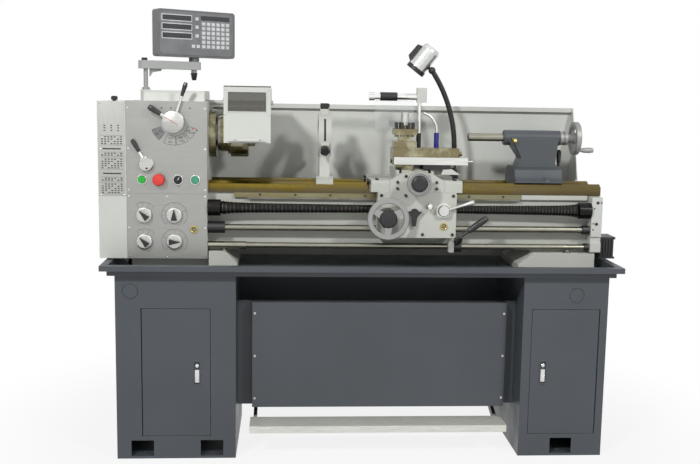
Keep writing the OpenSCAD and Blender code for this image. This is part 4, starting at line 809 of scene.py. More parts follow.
def cap_screw_tree():
    """A cap screw on each point: a round or six-sided head with a sunk socket."""
    sockets = {"Radius": "Float", "Height": "Float", "Sides": "Int", "Sunk": "Float"}
    tree, entry, leave = new_tree("cap_screws", sockets)
    sizes = entry.outputs
    head = add_node(
        tree,
        "GeometryNodeMeshCylinder",
        {"Vertices": sizes["Sides"], "Radius": sizes["Radius"], "Depth": sizes["Height"]},
    )
    rim = add_node(
        tree,
        "GeometryNodeExtrudeMesh",
        {"Mesh": head.outputs["Mesh"], "Selection": head.outputs["Top"], "Offset Scale": 0.0},
    )
    narrow = add_node(
        tree,
        "GeometryNodeScaleElements",
        {"Geometry": rim.outputs["Mesh"], "Selection": rim.outputs["Top"], "Scale": 0.55},
    )
    sunk = add_node(
        tree,
        "GeometryNodeExtrudeMesh",
        {"Mesh": narrow.outputs[0], "Selection": rim.outputs["Top"], "Offset Scale": sizes["Sunk"]},
    )
    half = add_node(tree, "ShaderNodeMath", {0: sizes["Height"], 1: 0.5}, operation="MULTIPLY")
    lift = add_node(tree, "ShaderNodeCombineXYZ", {"Z": half.outputs[0]})
    seat = {"Geometry": sunk.outputs["Mesh"], "Translation": lift.outputs[0]}
    seated = add_node(tree, "GeometryNodeTransform", seat)
    return set_out(tree, entry, leave, seated.outputs[0])


def block_tree():
    """A small block on each point, for printed lines, graduations and keys."""
    tree, entry, leave = new_tree("blocks", {"Size": "Vector"})
    block = add_node(tree, "GeometryNodeMeshCube", {"Size": entry.outputs["Size"]})
    return set_out(tree, entry, leave, block.outputs["Mesh"])


def hoop_tree():
    """A thin hoop on each point, for the links of a bent neck."""
    tree, entry, leave = new_tree("hoops", {"Radius": "Float", "Wire": "Float"})
    circle = "GeometryNodeCurvePrimitiveCircle"
    loop = add_node(tree, circle, {"Resolution": 24, "Radius": entry.outputs["Radius"]})
    wire = add_node(tree, circle, {"Resolution": 6, "Radius": entry.outputs["Wire"]})
    curves = {"Curve": loop.outputs[0], "Profile Curve": wire.outputs[0]}
    hoop = add_node(tree, "GeometryNodeCurveToMesh", curves)
    return set_out(tree, entry, leave, hoop.outputs[0])


TREES = {"screws": cap_screw_tree(), "blocks": block_tree(), "hoops": hoop_tree()}


def spread_piece(name, kind, places, body, slot=None, **inputs):
    """Sets out a tree's shape on places, each a point with its aim and along directions, as one piece."""
    tree = TREES[kind]
    points = bpy.data.meshes.new(name)
    points.from_pydata([tuple(point) for point, _, _ in places], [], [])
    for label, index in (("aim", 1), ("along", 2)):
        store = points.attributes.new(label, "FLOAT_VECTOR", "POINT")
        store.data.foreach_set("vector", [level for place in places for level in place[index]])
    piece = bpy.data.objects.new(name, points)
    bpy.context.scene.collection.objects.link(piece)
    grower = piece.modifiers.new(kind, "NODES")
    grower.node_group = tree
    names = {item.name: item.identifier for item in tree.interface.items_tree if item.in_out == "INPUT"}
    for label, value in inputs.items():
        grower[names[label]] = value
    whole = piece.evaluated_get(bpy.context.evaluated_depsgraph_get())
    grown = bpy.data.meshes.new_from_object(whole)
    piece.modifiers.remove(grower)
    piece.data = grown
    bpy.data.meshes.remove(points)
    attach(piece, body)


def front_places(points, y):
    """Places on a front face, from points in X and Z."""
    return [(Vector((x, y, z)), FRONT, X_AXIS) for x, z in points]


def screws(name, places, body, radius, height, finish=black_steel, slot="black_steel", sides=16):
    """Cap screws on places, with sizes in millimetres."""
    sizes = {"Radius": radius * MM, "Height": height * MM, "Sides": sides, "Sunk": -0.6 * height * MM}
    spread_piece(name, "screws", places, body, slot, Finish=finish, **sizes)


def blocks(name, places, body, size, finish=print_dark, slot=None):
    """Small blocks on places, with their lengths along, across and up in millimetres."""
    sizes = tuple(length * MM for length in size)
    spread_piece(name, "blocks", places, body, slot, Size=sizes, Finish=finish)


def dial_places(centre, axis, radius, count):
    """Places round the drum of a dial, for lines along its axis."""
    side = X_AXIS if axis == Y_AXIS else axis.orthogonal().normalized()
    other = side.cross(axis)
    places = []
    for step in range(count):
        angle = 2 * math.pi * step / count
        out = side * math.cos(angle) + other * math.sin(angle)
        places.append((centre + out * radius, out, axis))
    return places


# Stand and bed
def door_latches():
    """A plated push latch with a key button, in the recess of each door."""
    key = [(0, 6.4), (5.2, 6.4), (6.4, 5.4), (6.8, 4.4), (6.8, 0), (0, 0)]
    for body, side in (("left_door", 1), ("right_door", -1)):
        low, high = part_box(body)
        free = high.x if side > 0 else low.x
        at = Vector((free - side * 44 * MM, low.y + 7 * MM, (low.z + high.z) / 2))
        shape = bmesh.new()
        add_box(shape, at + mm(-7.5, -5.6, -34), at + mm(7.5, 0, 10), 1.4 * MM)
        add_box(shape, at + mm(-5, -6.6, -30), at + mm(5, -5, -12), 0.8 * MM)
        add_turned(shape, key, at + mm(0, 0, 24), FRONT, 28)
        make_piece(body + "_latch", shape, body, chrome)


def cabinet_knock_outs():
    """Pressed rings of the cable knock-outs near the top of each cabinet's front."""
    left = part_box("left_cabinet")
    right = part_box("right_cabinet")
    ring = [(25.6, 0), (26.2, 0.8), (27.6, 0.8), (28.4, 0)]
    tab = [(0, 0.9), (2.2, 0.8), (2.8, 0)]
    sunk = [(23.9, 0), (23.9, 0.15), (25.6, 0.15), (25.6, 0), (23.9, 0)]
    raised = bmesh.new()
    groove = bmesh.new()
    for x, z in ((left[0].x + 50 * MM, left[1].z - 55 * MM), (right[1].x - 110 * MM, right[1].z - 65 * MM)):
        at = Vector((x, left[0].y, z))
        add_turned(raised, ring, at, FRONT, 48)
        add_turned(raised, tab, at + mm(0, 0, 18), FRONT, 16)
        add_turned(groove, sunk, at, FRONT, 48)
    make_piece("knock_outs", raised, "stand", slate)
    make_piece("knock_out_grooves", groove, "stand", black_steel)


def knee_panel_screws():
    """Screws down both edges of the knee panel."""
    low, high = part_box("stand_panels")
    columns = (low.x + 61 * MM, high.x - 49 * MM)
    rows = (186 * MM, 336 * MM, 486 * MM)
    places = front_places([(x, z) for x in columns for z in rows], low.y)
    screws("knee_panel_screws", places, "stand", 4.2, 2.2, satin, "bright_steel")


def bed_bolts():
    """Six-sided bolts on washers that hold the bed's feet to the tray."""
    ledge = BED[0].z + 62 * MM
    washer = 2
    places = []
    for x in (HEAD[1].x + 31 * MM, BED[1].x - 116 * MM):
        places.append((Vector((x, BED[0].y + 22 * MM, ledge)), Z_AXIS, X_AXIS))
    screws("foot_washers", places, "stand", 15, washer, ground, "bright_steel", 24)
    lifted = [(point + mm(0, 0, washer), aim, along) for point, aim, along in places]
    screws("foot_bolts", lifted, "stand", 10, 9, ground, "bright_steel", 6)


def rod_bracket_details():
    """Cap screws and pins of the bracket at the right end of the rods, and black stop collars beside it."""
    low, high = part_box("rod_bracket")
    for name, spots, radius, height in (
        ("bracket_screws", ((20, 18), (18, 92)), 5, 2.5),
        ("bracket_pins", ((33, 18), (9, 38), (7, 91), (7, 112)), 2.6, 1),
    ):
        points = [(low.x + x * MM, high.z - z * MM) for x, z in spots]
        screws(name, front_places(points, low.y), "stand", radius, height)
    for name, joint, body, length, bore, radius in (
        ("feed_collar", "feed_rod_spin", "feed_rod", 25, 10.9, 15.5),
        ("control_collar", "control_rod_turn", "control_rod", 16, 9.9, 13.5),
    ):
        rod = joint_at(joint)
        at = (low.x - (length + 3) * MM, rod.y, rod.z)
        outline = [(bore, 0), (radius - 1, 0), (radius, 1), (radius, length - 1), (radius - 1, length)]
        outline += [(bore, length), (bore, 0)]
        turned_piece(name, outline, at, 40, body, black, X_AXIS)


def rack_details():
    """Teeth along the rack under the front way, and the screws that hold it."""
    left = HEAD[1].x + 112 * MM
    right = RACK_END - 2 * MM
    pitch = 6.28 * MM
    between = 120 * MM
    top = BED_TOP - 30 * MM
    face = BED[0].y + 36 * MM
    teeth = [(left + step * pitch, top - 18.2 * MM) for step in range(int((right - left) / pitch))]
    blocks("rack_teeth", front_places(teeth, face), "stand", (3.2, 4.6, 10), gear_steel)
    count = int((right - left) / between + 0.67)
    holes = [(left + (step + 0.33) * between, top - 7 * MM) for step in range(count)]
    screws("rack_screws", front_places(holes, face), "stand", 4.5, 1.2)


# Headstock and gearbox
def panel_screws():
    """Screws at the edges of both front panels."""
    left = PANEL_X[0] + 7 * MM
    right = PANEL_X[1] - 7 * MM
    middle_x = (left + right) / 2
    top_rows = [PANEL_TOP - 24 * MM, SPINDLE_AT.z - 47 * MM, BED_TOP - 20 * MM]
    low_rows = [BED_TOP - 42 * MM, BED_TOP - 148 * MM, GEARBOX[0].z + 8 * MM]
    points = [(x, z) for x in (left, right) for z in top_rows + low_rows]
    points += [(middle_x, low_rows[0]), (middle_x, low_rows[2])]
    screws("panel_screws", front_places(points, PANEL_Y), "stand", 3.2, 1.4, chrome, "chrome")


def on_panel(spot):
    """The place on the front panel behind a point."""
    return Vector((spot.x, PANEL_Y, spot.z))


def turned_about(at, degrees):
    """A turn about the axis from front to back through a point."""
    turn = Matrix.Rotation(math.radians(degrees), 4, "Y")
    return Matrix.Translation(at) @ turn @ Matrix.Translation(-at)


def button_collars():
    """Plated collars round the push buttons and the selector, and a black one under the stop button."""
    shape = bmesh.new()
    for node, inner in (("start_button", 13.6), ("coolant_button", 13.6), ("mode_switch", 14.4)):
        wide = inner + 3.8
        outline = [(inner, 0), (wide, 0), (wide, 1.6), (wide - 1.2, 3.2), (inner, 3.2), (inner, 0)]
        add_turned(shape, outline, on_panel(middle(node)), FRONT, 48)
    make_piece("button_collars", shape, "stand", chrome)
    outline = [(13.6, 0), (19, 0), (19, 2), (17, 4), (13.6, 4), (13.6, 0)]
    turned_piece("stop_collar", outline, on_panel(middle("stop_button")), 48, "stand", black)


def selector_pointer():
    """Pale pointer line on the black selector switch."""
    at = middle("mode_switch")
    at.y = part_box("mode_switch")[0].y
    ends = (at + mm(-1.2, -0.4, 1), at + mm(1.2, 0.4, 11))
    turn = turned_about(at, 35)
    box_piece("selector_pointer", ends, 0.3 * MM, "mode_switch", key_white, turn)


def front_of(node, at, reach):
    """The point in front of another where a node is foremost, within a reach of it."""
    near = [v.co.y for v in NODES[node].data.vertices if off_axis(v.co, at, Y_AXIS) < reach]
    return Vector((at.x, min(near), at.z))


def hub_caps():
    """Brushed caps on the lever hubs: a red pointer line on the speed hub, a dark dot on the reverse hub."""
    at = front_of("speed_lever", joint_at("speed_lever_turn"), 27.5 * MM)
    cap = [(0, 1.6), (34.4, 1.6), (36, 0.4), (36, -12.5), (35, -13.4), (0, -13.4)]
    turned_piece("speed_cap", cap, at, 72, "speed_lever", hub_face)
    at = at + mm(0, -1.7, 0)
    ends = (at + mm(-20, -0.15, -0.9), at + mm(33, 0.15, 0.9))
    box_piece("speed_line", ends, 0, "speed_lever", print_red, turned_about(at, -148))
    at = front_of("reverse_lever", joint_at("reverse_lever_turn"), 26.5 * MM)
    cap = [(0, 1.4), (21.6, 1.4), (22.4, 0.7), (22.4, 0), (0, 0)]
    turned_piece("reverse_cap", cap, at, 56, "reverse_lever", hub_face)
    dot = [(0, 0.4), (3.2, 0.3), (3.6, 0), (0, 0)]
    turned_piece("reverse_dot", dot, at + mm(3, -1.4, -14), 20, "reverse_lever", black)


def add_ring_part(shape, at, inner, outer, first, last, thick=0.15):
    """Adds a printed part of a ring on the front panel, with its radii and thickness in millimetres."""
    steps = max(6, int(abs(last - first) / 5))
    outline = arc(outer, first, last, steps) + arc(inner, last, first, steps)
    add_slab(shape, outline, at, X_AXIS, Z_AXIS, thick)


def panel_prints():
    """Printed scales: boxes of speeds below the speed hub, and arcs with marks round the gearbox knobs."""
    shape = bmesh.new()
    at = on_panel(joint_at("speed_lever_turn"))
    inner, outer, line = 47, 77, 1.1
    fields = ((201, 231), (244, 274), (277, 307), (313, 343))
    speeds = (("70", "200"), ("220", "500"), ("360", "1000"), ("600", "2000"))
    for (first, last), pair in zip(fields, speeds):
        for radius in (inner, outer):
            add_ring_part(shape, at, radius, radius + line, first, last)
        for angle in (first, last):
            add_ring_part(shape, at, inner, outer + line, angle - 0.5, angle + 0.5)
        for number, radius in zip(pair, (56, 69)):
            add_number(shape, number, at, (first + last) / 2, radius * MM, 9.5 * MM)
    for x, z in ((-9.5, 45), (-40, 45), (53, 45), (76, -28)):
        add_turned(shape, [(0, 0.2), (2.6, 0.2), (2.6, 0), (0, 0)], at + mm(x, 0, z), FRONT, 20)
    dot = [(0, 0.2), (3.2, 0.2), (3.2, 0), (0, 0)]
    turned_piece("red_dot", dot, at + mm(62, 0, -23), 20, "stand", print_red)
    field = bmesh.new()
    add_ring_part(field, at, inner + line, outer, fields[0][0] + 0.5, fields[0][1] - 0.5, 0.06)
    make_piece("grey_field", field, "stand", key_plate)
    for knob in LEFT_KNOBS:
        knob_prints(shape, knob, 38, 128)
    for knob in RIGHT_KNOBS:
        knob_prints(shape, knob, -45, 225)
    make_piece("panel_prints", shape, "stand", print_dark)


def knob_prints(shape, knob, first, last):
    """Arc, ticks and numbers round one gearbox knob, from the panel's right side to its left."""
    at = on_panel(joint_at(knob + "_turn"))
    add_ring_part(shape, at, 42.2, 43.2, first, last)
    count = 5 if last - first > 180 else 4
    for step in range(count):
        angle = first + (last - first) * step / (count - 1)
        add_ring_part(shape, at, 30.5, 33, angle - 1.3, angle + 1.3)
        add_number(shape, str(step + 1), at, angle, 37.5 * MM, 7 * MM)


def add_number(shape, text, at, angle, radius, size):
    """Adds an upright printed number on the front panel, at an angle and radius round a point."""
    curve = bpy.data.curves.new("number", "FONT")
    curve.body = text
    curve.size = size
    curve.align_x = "CENTER"
    curve.align_y = "CENTER"
    curve.extrude = 0.08 * MM
    curve.resolution_u = 2
    carrier = bpy.data.objects.new("number", curve)
    mesh = bpy.data.meshes.new_from_object(carrier)
    turn = math.radians(angle)
    point = Vector(at) + X_AXIS * (radius * math.cos(turn)) + Z_AXIS * (radius * math.sin(turn))
    mesh.transform(Matrix.Translation(point) @ Matrix.Rotation(math.radians(90), 4, "X"))
    shape.from_mesh(mesh)
    bpy.data.objects.remove(carrier)
    bpy.data.curves.remove(curve)
    bpy.data.meshes.remove(mesh)


def sight_glasses():
    """Oil sight glasses with bright rims on the gearbox and the apron."""
    rim = [(8, 1.5), (8, 4), (9.5, 5), (12, 4.4), (13, 2.6), (13, 0), (8, 0), (8, 1.5)]
    lens = [(0, 3.4), (4, 3.1), (7, 2.2), (8, 1.6), (8, 0.2), (0, 0.2)]
    for name, body, at in (
        ("gearbox_sight_glass", "stand", (PANEL_X[1] - 44 * MM, PANEL_Y, BED_TOP - 153 * MM)),
        ("apron_sight_glass", "carriage", (APRON[1].x - 42 * MM, APRON_FACE, APRON[0].z + 40 * MM)),
    ):
        turned_piece(name, rim, at, 40, body, brass)
        turned_piece(name + "_lens", lens, at, 32, body, oil_glass)


def chart_plate():
    """Metal plate of ruled thread and feed charts on the end cover, with screws along its sides."""
    left = COVER[0].x + 3 * MM
    right = PANEL_X[0] - 4 * MM
    top = PANEL_TOP - 5 * MM
    bottom = BED_TOP - 42 * MM
    plate_face = PANEL_Y - 0.8 * MM
    ends = ((left, plate_face, bottom), (right, PANEL_Y, top))
    box_piece("chart_plate", ends, 0.3 * MM, "gear_cover", plate)
    width = right - left
    centre = (left + right) / 2
    marks = []
    rules = []
    for start, rows, pitch in ((112, 4, 7.5), (167, 2, 6.0), (186, 5, 7.2), (250, 2, 6.0), (269, 5, 7.0)):
        rules += [(centre, top - (start - 1) * MM), (centre, top - (start + rows * pitch + 1) * MM)]
        for row in range(rows):
            z = top - (start + (row + 0.5) * pitch) * MM
            marks += [(left + width * (0.14 + 0.12 * column), z) for column in range(7) if (row + column) % 5]
    for column in range(3):
        marks += [(left + width * (0.24 + 0.26 * column), top - level * MM) for level in (78, 86, 95)]
    bars = [(centre, top - 155 * MM), (centre, top - 237 * MM)]
    print_face = plate_face - 0.05 * MM
    for name, spots, size in (
        ("chart_rules", rules, (0.86 * width / MM, 0.6, 0.16)),
        ("chart_marks", marks, (6.2, 3.4, 0.16)),
        ("chart_bars", bars, (0.7 * width / MM, 4.5, 0.16)),
    ):
        blocks(name, front_places(spots, print_face), "gear_cover", size)
    rows = (bottom + 5 * MM, (top + bottom) / 2, top - 5 * MM)
    points = [(x, z) for x in (left + 5 * MM, right - 5 * MM) for z in rows]
    screws("chart_screws", front_places(points, plate_face), "gear_cover", 2.6, 1.4, chrome, None)


# Carriage, tailstock and steady
def spring_cover(node, wide_end, narrow_end):
    """A telescopic spring over the lead screw: a cup, then lapped turns of strip that grow narrower."""
    screw = joint_at("lead_screw_spin")
    around = 48
    turns = 38
    cup = 44 * MM
    cup_radius = 28 * MM
    cup_mouth = 20.5 * MM
    tail = 13.8 * MM
    chamfer = 1.5 * MM
    bore = 11.9 * MM
    gap = 2 * MM
    strip_width = 0.93
    over = 1.7
    under = 0.3
    slim = 12.4
    taper = 4.2
    flare = 5.8
    flare_turns = 2.6
    reach = abs(narrow_end - wide_end)
    way = 1 if narrow_end > wide_end else -1
    pitch = (reach - cup - 2 * gap) / (turns + 1)
    shape = bmesh.new()

    def point(along, radius, spoke):
        angle = 2 * math.pi * spoke / around
        x = wide_end + way * along
        return shape.verts.new((x, screw.y + radius * math.cos(angle), screw.z + radius * math.sin(angle)))

    def ring(along, radius):
        return [point(along, radius, spoke) for spoke in range(around)]

    rows = []
    for step in range(2 * turns + 1):
        lap = under if step % 2 else over
        edge = step // 2 + (strip_width if step % 2 else 0)
        row = []
        for spoke in range(around):
            turn = edge + spoke / around
            radius = slim + taper * (1 - turn / turns) + flare * math.exp(-turn / flare_turns) + lap
            row.append(point(cup + gap + turn * pitch, radius * MM, spoke))
        rows.append(row)
    start = [ring(0, cup_radius), ring(cup - chamfer, cup_radius), ring(cup, cup_radius - chamfer)]
    start.append(ring(cup, cup_mouth))
    end = [ring(reach, tail), ring(reach, bore), ring(0, bore), start[0]]
    for first, second in list(zip(start, start[1:])) + list(zip(end, end[1:])):
        join_rings(shape, first, second)
    wind(shape, start[-1], rows, end[0])
    name = node + "_strip"
    strip = spring_strip(name, wide_end + way * (cup + gap + pitch / 2), way * pitch)
    piece = make_piece(name, shape, None, strip, smooth=24)
    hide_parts(node)
    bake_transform(piece)


def wind(shape, start, rows, end):
    """Joins rows of a helix, two to a turn, between a plain ring at its start and one at its end."""
    last = len(start) - 1
    for step in range(len(rows) - 1):
        first, second = rows[step], rows[step + 1]
        for spoke in range(last):
            shape.faces.new([first[spoke], first[spoke + 1], second[spoke + 1], second[spoke]])
        if step + 3 < len(rows):
            shape.faces.new([first[last], rows[step + 2][0], rows[step + 3][0], second[last]])
    for ring, row in ((start, rows[0]), (end, rows[-1])):
        for spoke in range(last):
            shape.faces.new([ring[spoke], ring[spoke + 1], row[spoke + 1], row[spoke]])
    shape.faces.new([start[last], start[0], rows[2][0], rows[0][last]])
    shape.faces.new([start[0], rows[0][0], rows[1][0], rows[2][0]])
    shape.faces.new([end[last], end[0], rows[-1][0], rows[-3][last], rows[-2][last], rows[-1][last]])


def spring_covers():
    """Both spring covers, each from its fixed cup to the apron."""
    low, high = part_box("left_screw_cover")
    spring_cover("left_screw_cover", low.x, high.x)
    low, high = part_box("right_screw_cover")
    spring_cover("right_screw_cover", high.x, low.x)


def apron_screws():
    """Cap screws on the fronts of the apron and the saddle, and on the saddle's wings."""
    left = APRON[0].x + 14 * MM
    right = APRON[1].x - 12 * MM
    centre = (left + right) / 2
    low_row = APRON[0].z + 12 * MM
    high_row = APRON[1].z - 10 * MM
    points = [(left, high_row), (centre - 40 * MM, high_row), (right, high_row)]
    points += [(right, low_row), (centre + 20 * MM, low_row)]
    screws("apron_screws", front_places(points, APRON_FACE), "carriage", 5.2, 4)
    hub = joint_at("cross_wheel_turn")
    spots = ((-66, -22), (-66, 0), (66, -22), (66, 0), (-38, 20), (38, 20))
    points = [(hub.x + x * MM, hub.z + z * MM) for x, z in spots]
    screws("saddle_screws", front_places(points, SADDLE[0].y), "carriage", 5, 4)
    top = []
    for x in (SADDLE[0].x + 22 * MM, SADDLE[1].x - 22 * MM):
        for y in (-140 * MM, -112 * MM):
            top.append((Vector((x, y, BED_TOP + 21 * MM)), Z_AXIS, X_AXIS))
    screws("saddle_top_screws", top, "carriage", 5.5, 4)


def apron_bracket():
    """Pale bracket that hangs from the right end of the apron, in front of the control rod."""
    corner = Vector((APRON[1].x, APRON_FACE, APRON[0].z))
    ends = (corner + mm(-20, 20, -53), corner + mm(-1, 37, 7))
    box_piece("apron_bracket", ends, 2 * MM, "carriage", pale_cast)


def tailstock_details():
    """Joint line of the tailstock's base, its set screw and the index beside it."""
    low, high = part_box("tailstock")
    at = Vector(((low.x + high.x) / 2, low.y, BED_TOP + 21 * MM))
    long = (high.x - low.x) / MM - 4
    line = [(at, FRONT, X_AXIS)]
    blocks("tailstock_joint", line, "tailstock", (long, 1.2, 0.3), black_steel, "black_steel")
    point = front_places([(at.x + 32 * MM, at.z + 5 * MM)], low.y)
    screws("tailstock_set_screw", point, "tailstock", 3.4, 1.2)
    index = front_places([(at.x + (40 + 1.6 * step) * MM, at.z - 3 * MM) for step in range(7)], low.y)
    blocks("tailstock_index", index, "tailstock", (0.4, 4, 0.3), satin, "bright_steel")


def way_wipers():
    """Black way wipers at both ends of the saddle's front and back wings."""
    shape = bmesh.new()
    for x, side in ((SADDLE[0].x, -1), (SADDLE[1].x, 1)):
        left, right = sorted((x, x + side * 7 * MM))
        for front, back in ((-150 * MM, -58 * MM), (52 * MM, 100 * MM)):
            low = (left, front, BED_TOP + 10.5 * MM)
            high = (right, back, BED_TOP + 19 * MM)
            add_box(shape, low, high, 1.2 * MM)
    make_piece("way_wipers", shape, "carriage", black)


def handwheel_dials():
    """Graduations on the dials of the cross slide, tailstock and carriage handwheels."""
    cross = joint_at("cross_wheel_turn")
    cross.y = SADDLE[0].y - 17 * MM
    blocks("cross_dial_lines", dial_places(cross, Y_AXIS, 24 * MM, 80), "cross_wheel", (8, 0.5, 0.25))
    tail = SPINDLE_AT.copy()
    tail.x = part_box("tailstock_wheel")[0].x + 57 * MM
    blocks("tail_dial_lines", dial_places(tail, X_AXIS, 24 * MM, 100), "tailstock_wheel", (9, 0.45, 0.25))
    wheel = joint_at("carriage_wheel_turn")
    wheel.y = APRON_FACE - 22.5 * MM
    lines = dial_places(wheel, Y_AXIS, 30 * MM, 60)
    blocks("carriage_dial_lines", lines, "carriage_wheel", (8, 0.6, 0.3), key_white)


def wheel_rims():
    """Broad flat rims over the round rims of the three handwheels."""
    for name, axis, inner, half in (
        ("carriage_wheel", Y_AXIS, 52.5, 8),
        ("cross_wheel", Y_AXIS, 0, 7),
        ("tailstock_wheel", X_AXIS, 42, 9),
    ):
        hub = joint_at(name + "_turn")
        spokes = [v.co - hub for v in NODES[name].data.vertices]
        outer = max(spoke.z for spoke in spokes)
        level = [spoke.dot(axis) for spoke in spokes if spoke.z > outer - 1 * MM]
        at = hub + axis * (sum(level) / len(level))
        wide = outer / MM + 0.6
        inner = inner or wide - 15
        outline = [(inner, -half + 2), (inner + 2, -half), (wide - 2, -half), (wide, -half + 2)]
        outline += [(wide, half - 2), (wide - 2, half), (inner + 2, half), (inner, half - 2)]
        outline += outline[:1]
        turned_piece(name + "_rim", outline, at, 72, name, wheel_grey, axis)


def steady_details():
    """Lobed knobs of the fixed steady and the dark split line round its ring."""
    steps = 60
    knob = 15.4
    lobe = 1.9
    lobe_count = 5
    lobes = []
    for step in range(steps):
        angle = 2 * math.pi * step / steps
        radius = knob + lobe * math.cos(lobe_count * angle)
        lobes.append((radius * math.cos(angle), radius * math.sin(angle)))
    knobs = bmesh.new()
    for out in STEADY_FINGERS:
        add_slab(knobs, lobes, STEADY_AT + out * (96 * MM), X_AXIS, out.cross(X_AXIS), 12)
    make_piece("steady_knobs", knobs, "steady_rest", black)
    slot = bmesh.new()
    outline = arc(76.5, 132, 194, 24) + arc(75.5, 194, 132, 24)
    add_slab(slot, outline, STEADY_AT + mm(-3.5, 0, 0), Y_AXIS, Z_AXIS, 7)
    make_piece("steady_slot", slot, "steady_rest", black_steel)


def compound_scale():
    """Degree lines round the compound's swivel."""
    centre = joint_at("compound_swivel")
    centre.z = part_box("cross_slide")[1].z + 3 * MM
    blocks("swivel_lines", dial_places(centre, Z_AXIS, 58 * MM, 120), "compound", (4, 0.5, 0.25))


def lamp_neck():
    """Links of the bent neck of the work lamp, along its straight foot and its arc."""
    pitch = 4.6 * MM
    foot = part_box("work_lamp")[0].z + 34 * MM
    places = []
    for step in range(int((NECK_RISE - foot) / pitch)):
        places.append((neck_point(0) - Z_AXIS * (step * pitch), Z_AXIS, X_AXIS))
    for step in range(1, int(NECK_BEND * NECK_TURN / pitch) - 2):
        angle = step * pitch / NECK_BEND
        places.append((neck_point(angle), Vector((-math.sin(angle), 0, math.cos(angle))), Y_AXIS))
    sizes = {"Radius": 8.3 * MM, "Wire": 1.7 * MM}
    spread_piece("lamp_neck_links", "hoops", places, "carriage", "black_plastic", Finish=black, **sizes)


# Chuck guard and readout
def guard_details():
    """Window frame, screws and handle strip of the chuck guard."""
    left = PANEL_X[1] + 53 * MM
    right = GUARD[1].x - 6 * MM
    low = Vector((left + 14 * MM, GUARD_FRONT, SPINDLE_AT.z + 78 * MM))
    high = Vector((right - 15 * MM, GUARD_FRONT, SPINDLE_AT.z + 144 * MM))
    at = (low + high) / 2
    wide, _, tall = (high - low) / 2
    rim = 4 * MM
    lap = 1 * MM
    front = -1.2 * MM
    shape = bmesh.new()
    for side in (-1, 1):
        edge = side * (wide + rim / 2 - lap)
        ends = (Vector((edge - rim / 2, front, -tall - rim)), Vector((edge + rim / 2, 0, tall + rim)))
        add_box(shape, at + ends[0], at + ends[1], 0.5 * MM)
        level = side * (tall + rim / 2 - lap)
        ends = (Vector((-wide, front, level - rim / 2)), Vector((wide, 0, level + rim / 2)))
        add_box(shape, at + ends[0], at + ends[1], 0.5 * MM)
    make_piece("guard_window_frame", shape, "chuck_guard", pale)
    rows = (low.z - 10 * MM, high.z + 8 * MM)
    points = [(x, z) for x in (left + 6 * MM, right - 6 * MM) for z in rows]
    places = front_places(points, GUARD_FRONT)
    screws("guard_screws", places, "chuck_guard", 3, 1.4, satin, "bright_steel")
    start = right - 125 * MM
    stop = right - 29 * MM
    face = GUARD_FRONT - 9 * MM
    foot = GUARD[0].z + 5 * MM
    ends = ((start, face, foot), (stop, GUARD_FRONT, foot + 9 * MM))
    box_piece("guard_handle_strip", ends, 1.2 * MM, "chuck_guard", pale)
    points = [(x, foot + 4.5 * MM) for x in (start + 7 * MM, stop - 7 * MM)]
    screws("strip_screws", front_places(points, face), "chuck_guard", 2.6, 1)


def readout_face():
    """Front of the readout: pale plate, three dark display windows, a small screen and a keypad."""
    swivel = joint_at("dro_display_swivel")
    swivel.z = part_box("dro_display")[1].z - 80 * MM
    turn = math.radians(33)
    place = Matrix.Translation(swivel) @ Matrix.Rotation(turn, 4, "Z")
    across = place.to_3x3() @ X_AXIS
    aim = place.to_3x3() @ FRONT
    front = -25

    def slabs(name, spots, size, radius, depth, thick, finish):
        shape = bmesh.new()
        for x, z in spots:
            add_slab(shape, rounded(*size, radius), place @ mm(x, front - depth, z), across, Z_AXIS, thick)
        make_piece(name, shape, "dro_display", finish)

    displays = [(-78, z) for z in (52, 22, -8)]
    slabs("readout_plate", [(0, 0)], (286, 146), 20, 0, 1.2, face_grey)
    slabs("readout_frames", displays, (116, 23), 2, 1.1, 0.5, key_white)
    slabs("readout_windows", displays, (110, 17), 1, 1.5, 0.5, screen)
    slabs("readout_screen", [(70.5, 56)], (113, 15), 1, 1.1, 0.6, screen)
    slabs("readout_keypad", [(72, -3)], (118, 98), 4, 1.1, 0.4, key_plate)
    keys = [(24.5 + 19 * column, 36 - 15.6 * row) for column in range(6) for row in range(6)]
    keys += [(-1.5, z) for z in (52, 24, -6)]
    keys += [(x, -42) for x in (-16, 3)]
    places = [(place @ mm(x, front - 2, z), aim, across) for x, z in keys]
    blocks("readout_keys", places, "dro_display", (12.5, 11, 1.4), key_white, "display_case")


def readout_arm_details():
    """Black end cap, cap screw and knob on the readout's arm, and a dark gusset under its post end."""
    post = joint_at("dro_arm_swing")
    stud = joint_at("dro_display_swivel")
    reach = off_axis(stud, post, Z_AXIS) / MM
    turn = math.atan2(stud.y - post.y, stud.x - post.x)
    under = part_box("dro_arm")[1].z - 62 * MM
    place = Matrix.Translation((post.x, post.y, under)) @ Matrix.Rotation(turn, 4, "Z")
    knob = [(0, 0), (10.5, 0), (12, 2), (8, 24), (6, 26), (0, 26)]
    head = [(0, 9), (9, 9), (10, 8), (10, 0), (0, 0)]
    shape = bmesh.new()
    add_box(shape, mm(reach + 15.8, -17, 0), mm(reach + 18, 17, 28), 0.8 * MM, place)
    add_turned(shape, knob, place @ mm(reach, 0, -10), -Z_AXIS, 32)
    add_turned(shape, head, place @ mm(-4, 0, 28), Z_AXIS, 32)
    make_piece("readout_arm_fittings", shape, "dro_arm", black)
    gusset = bmesh.new()
    outline = [(15, 0), (58, 0), (54, -7), (24, -12), (15, -26)]
    add_slab(gusset, outline, place @ mm(0, 4, 0), place.to_3x3() @ X_AXIS, Z_AXIS, 8)
    make_piece("readout_gusset", gusset, "dro_arm", wheel_grey)


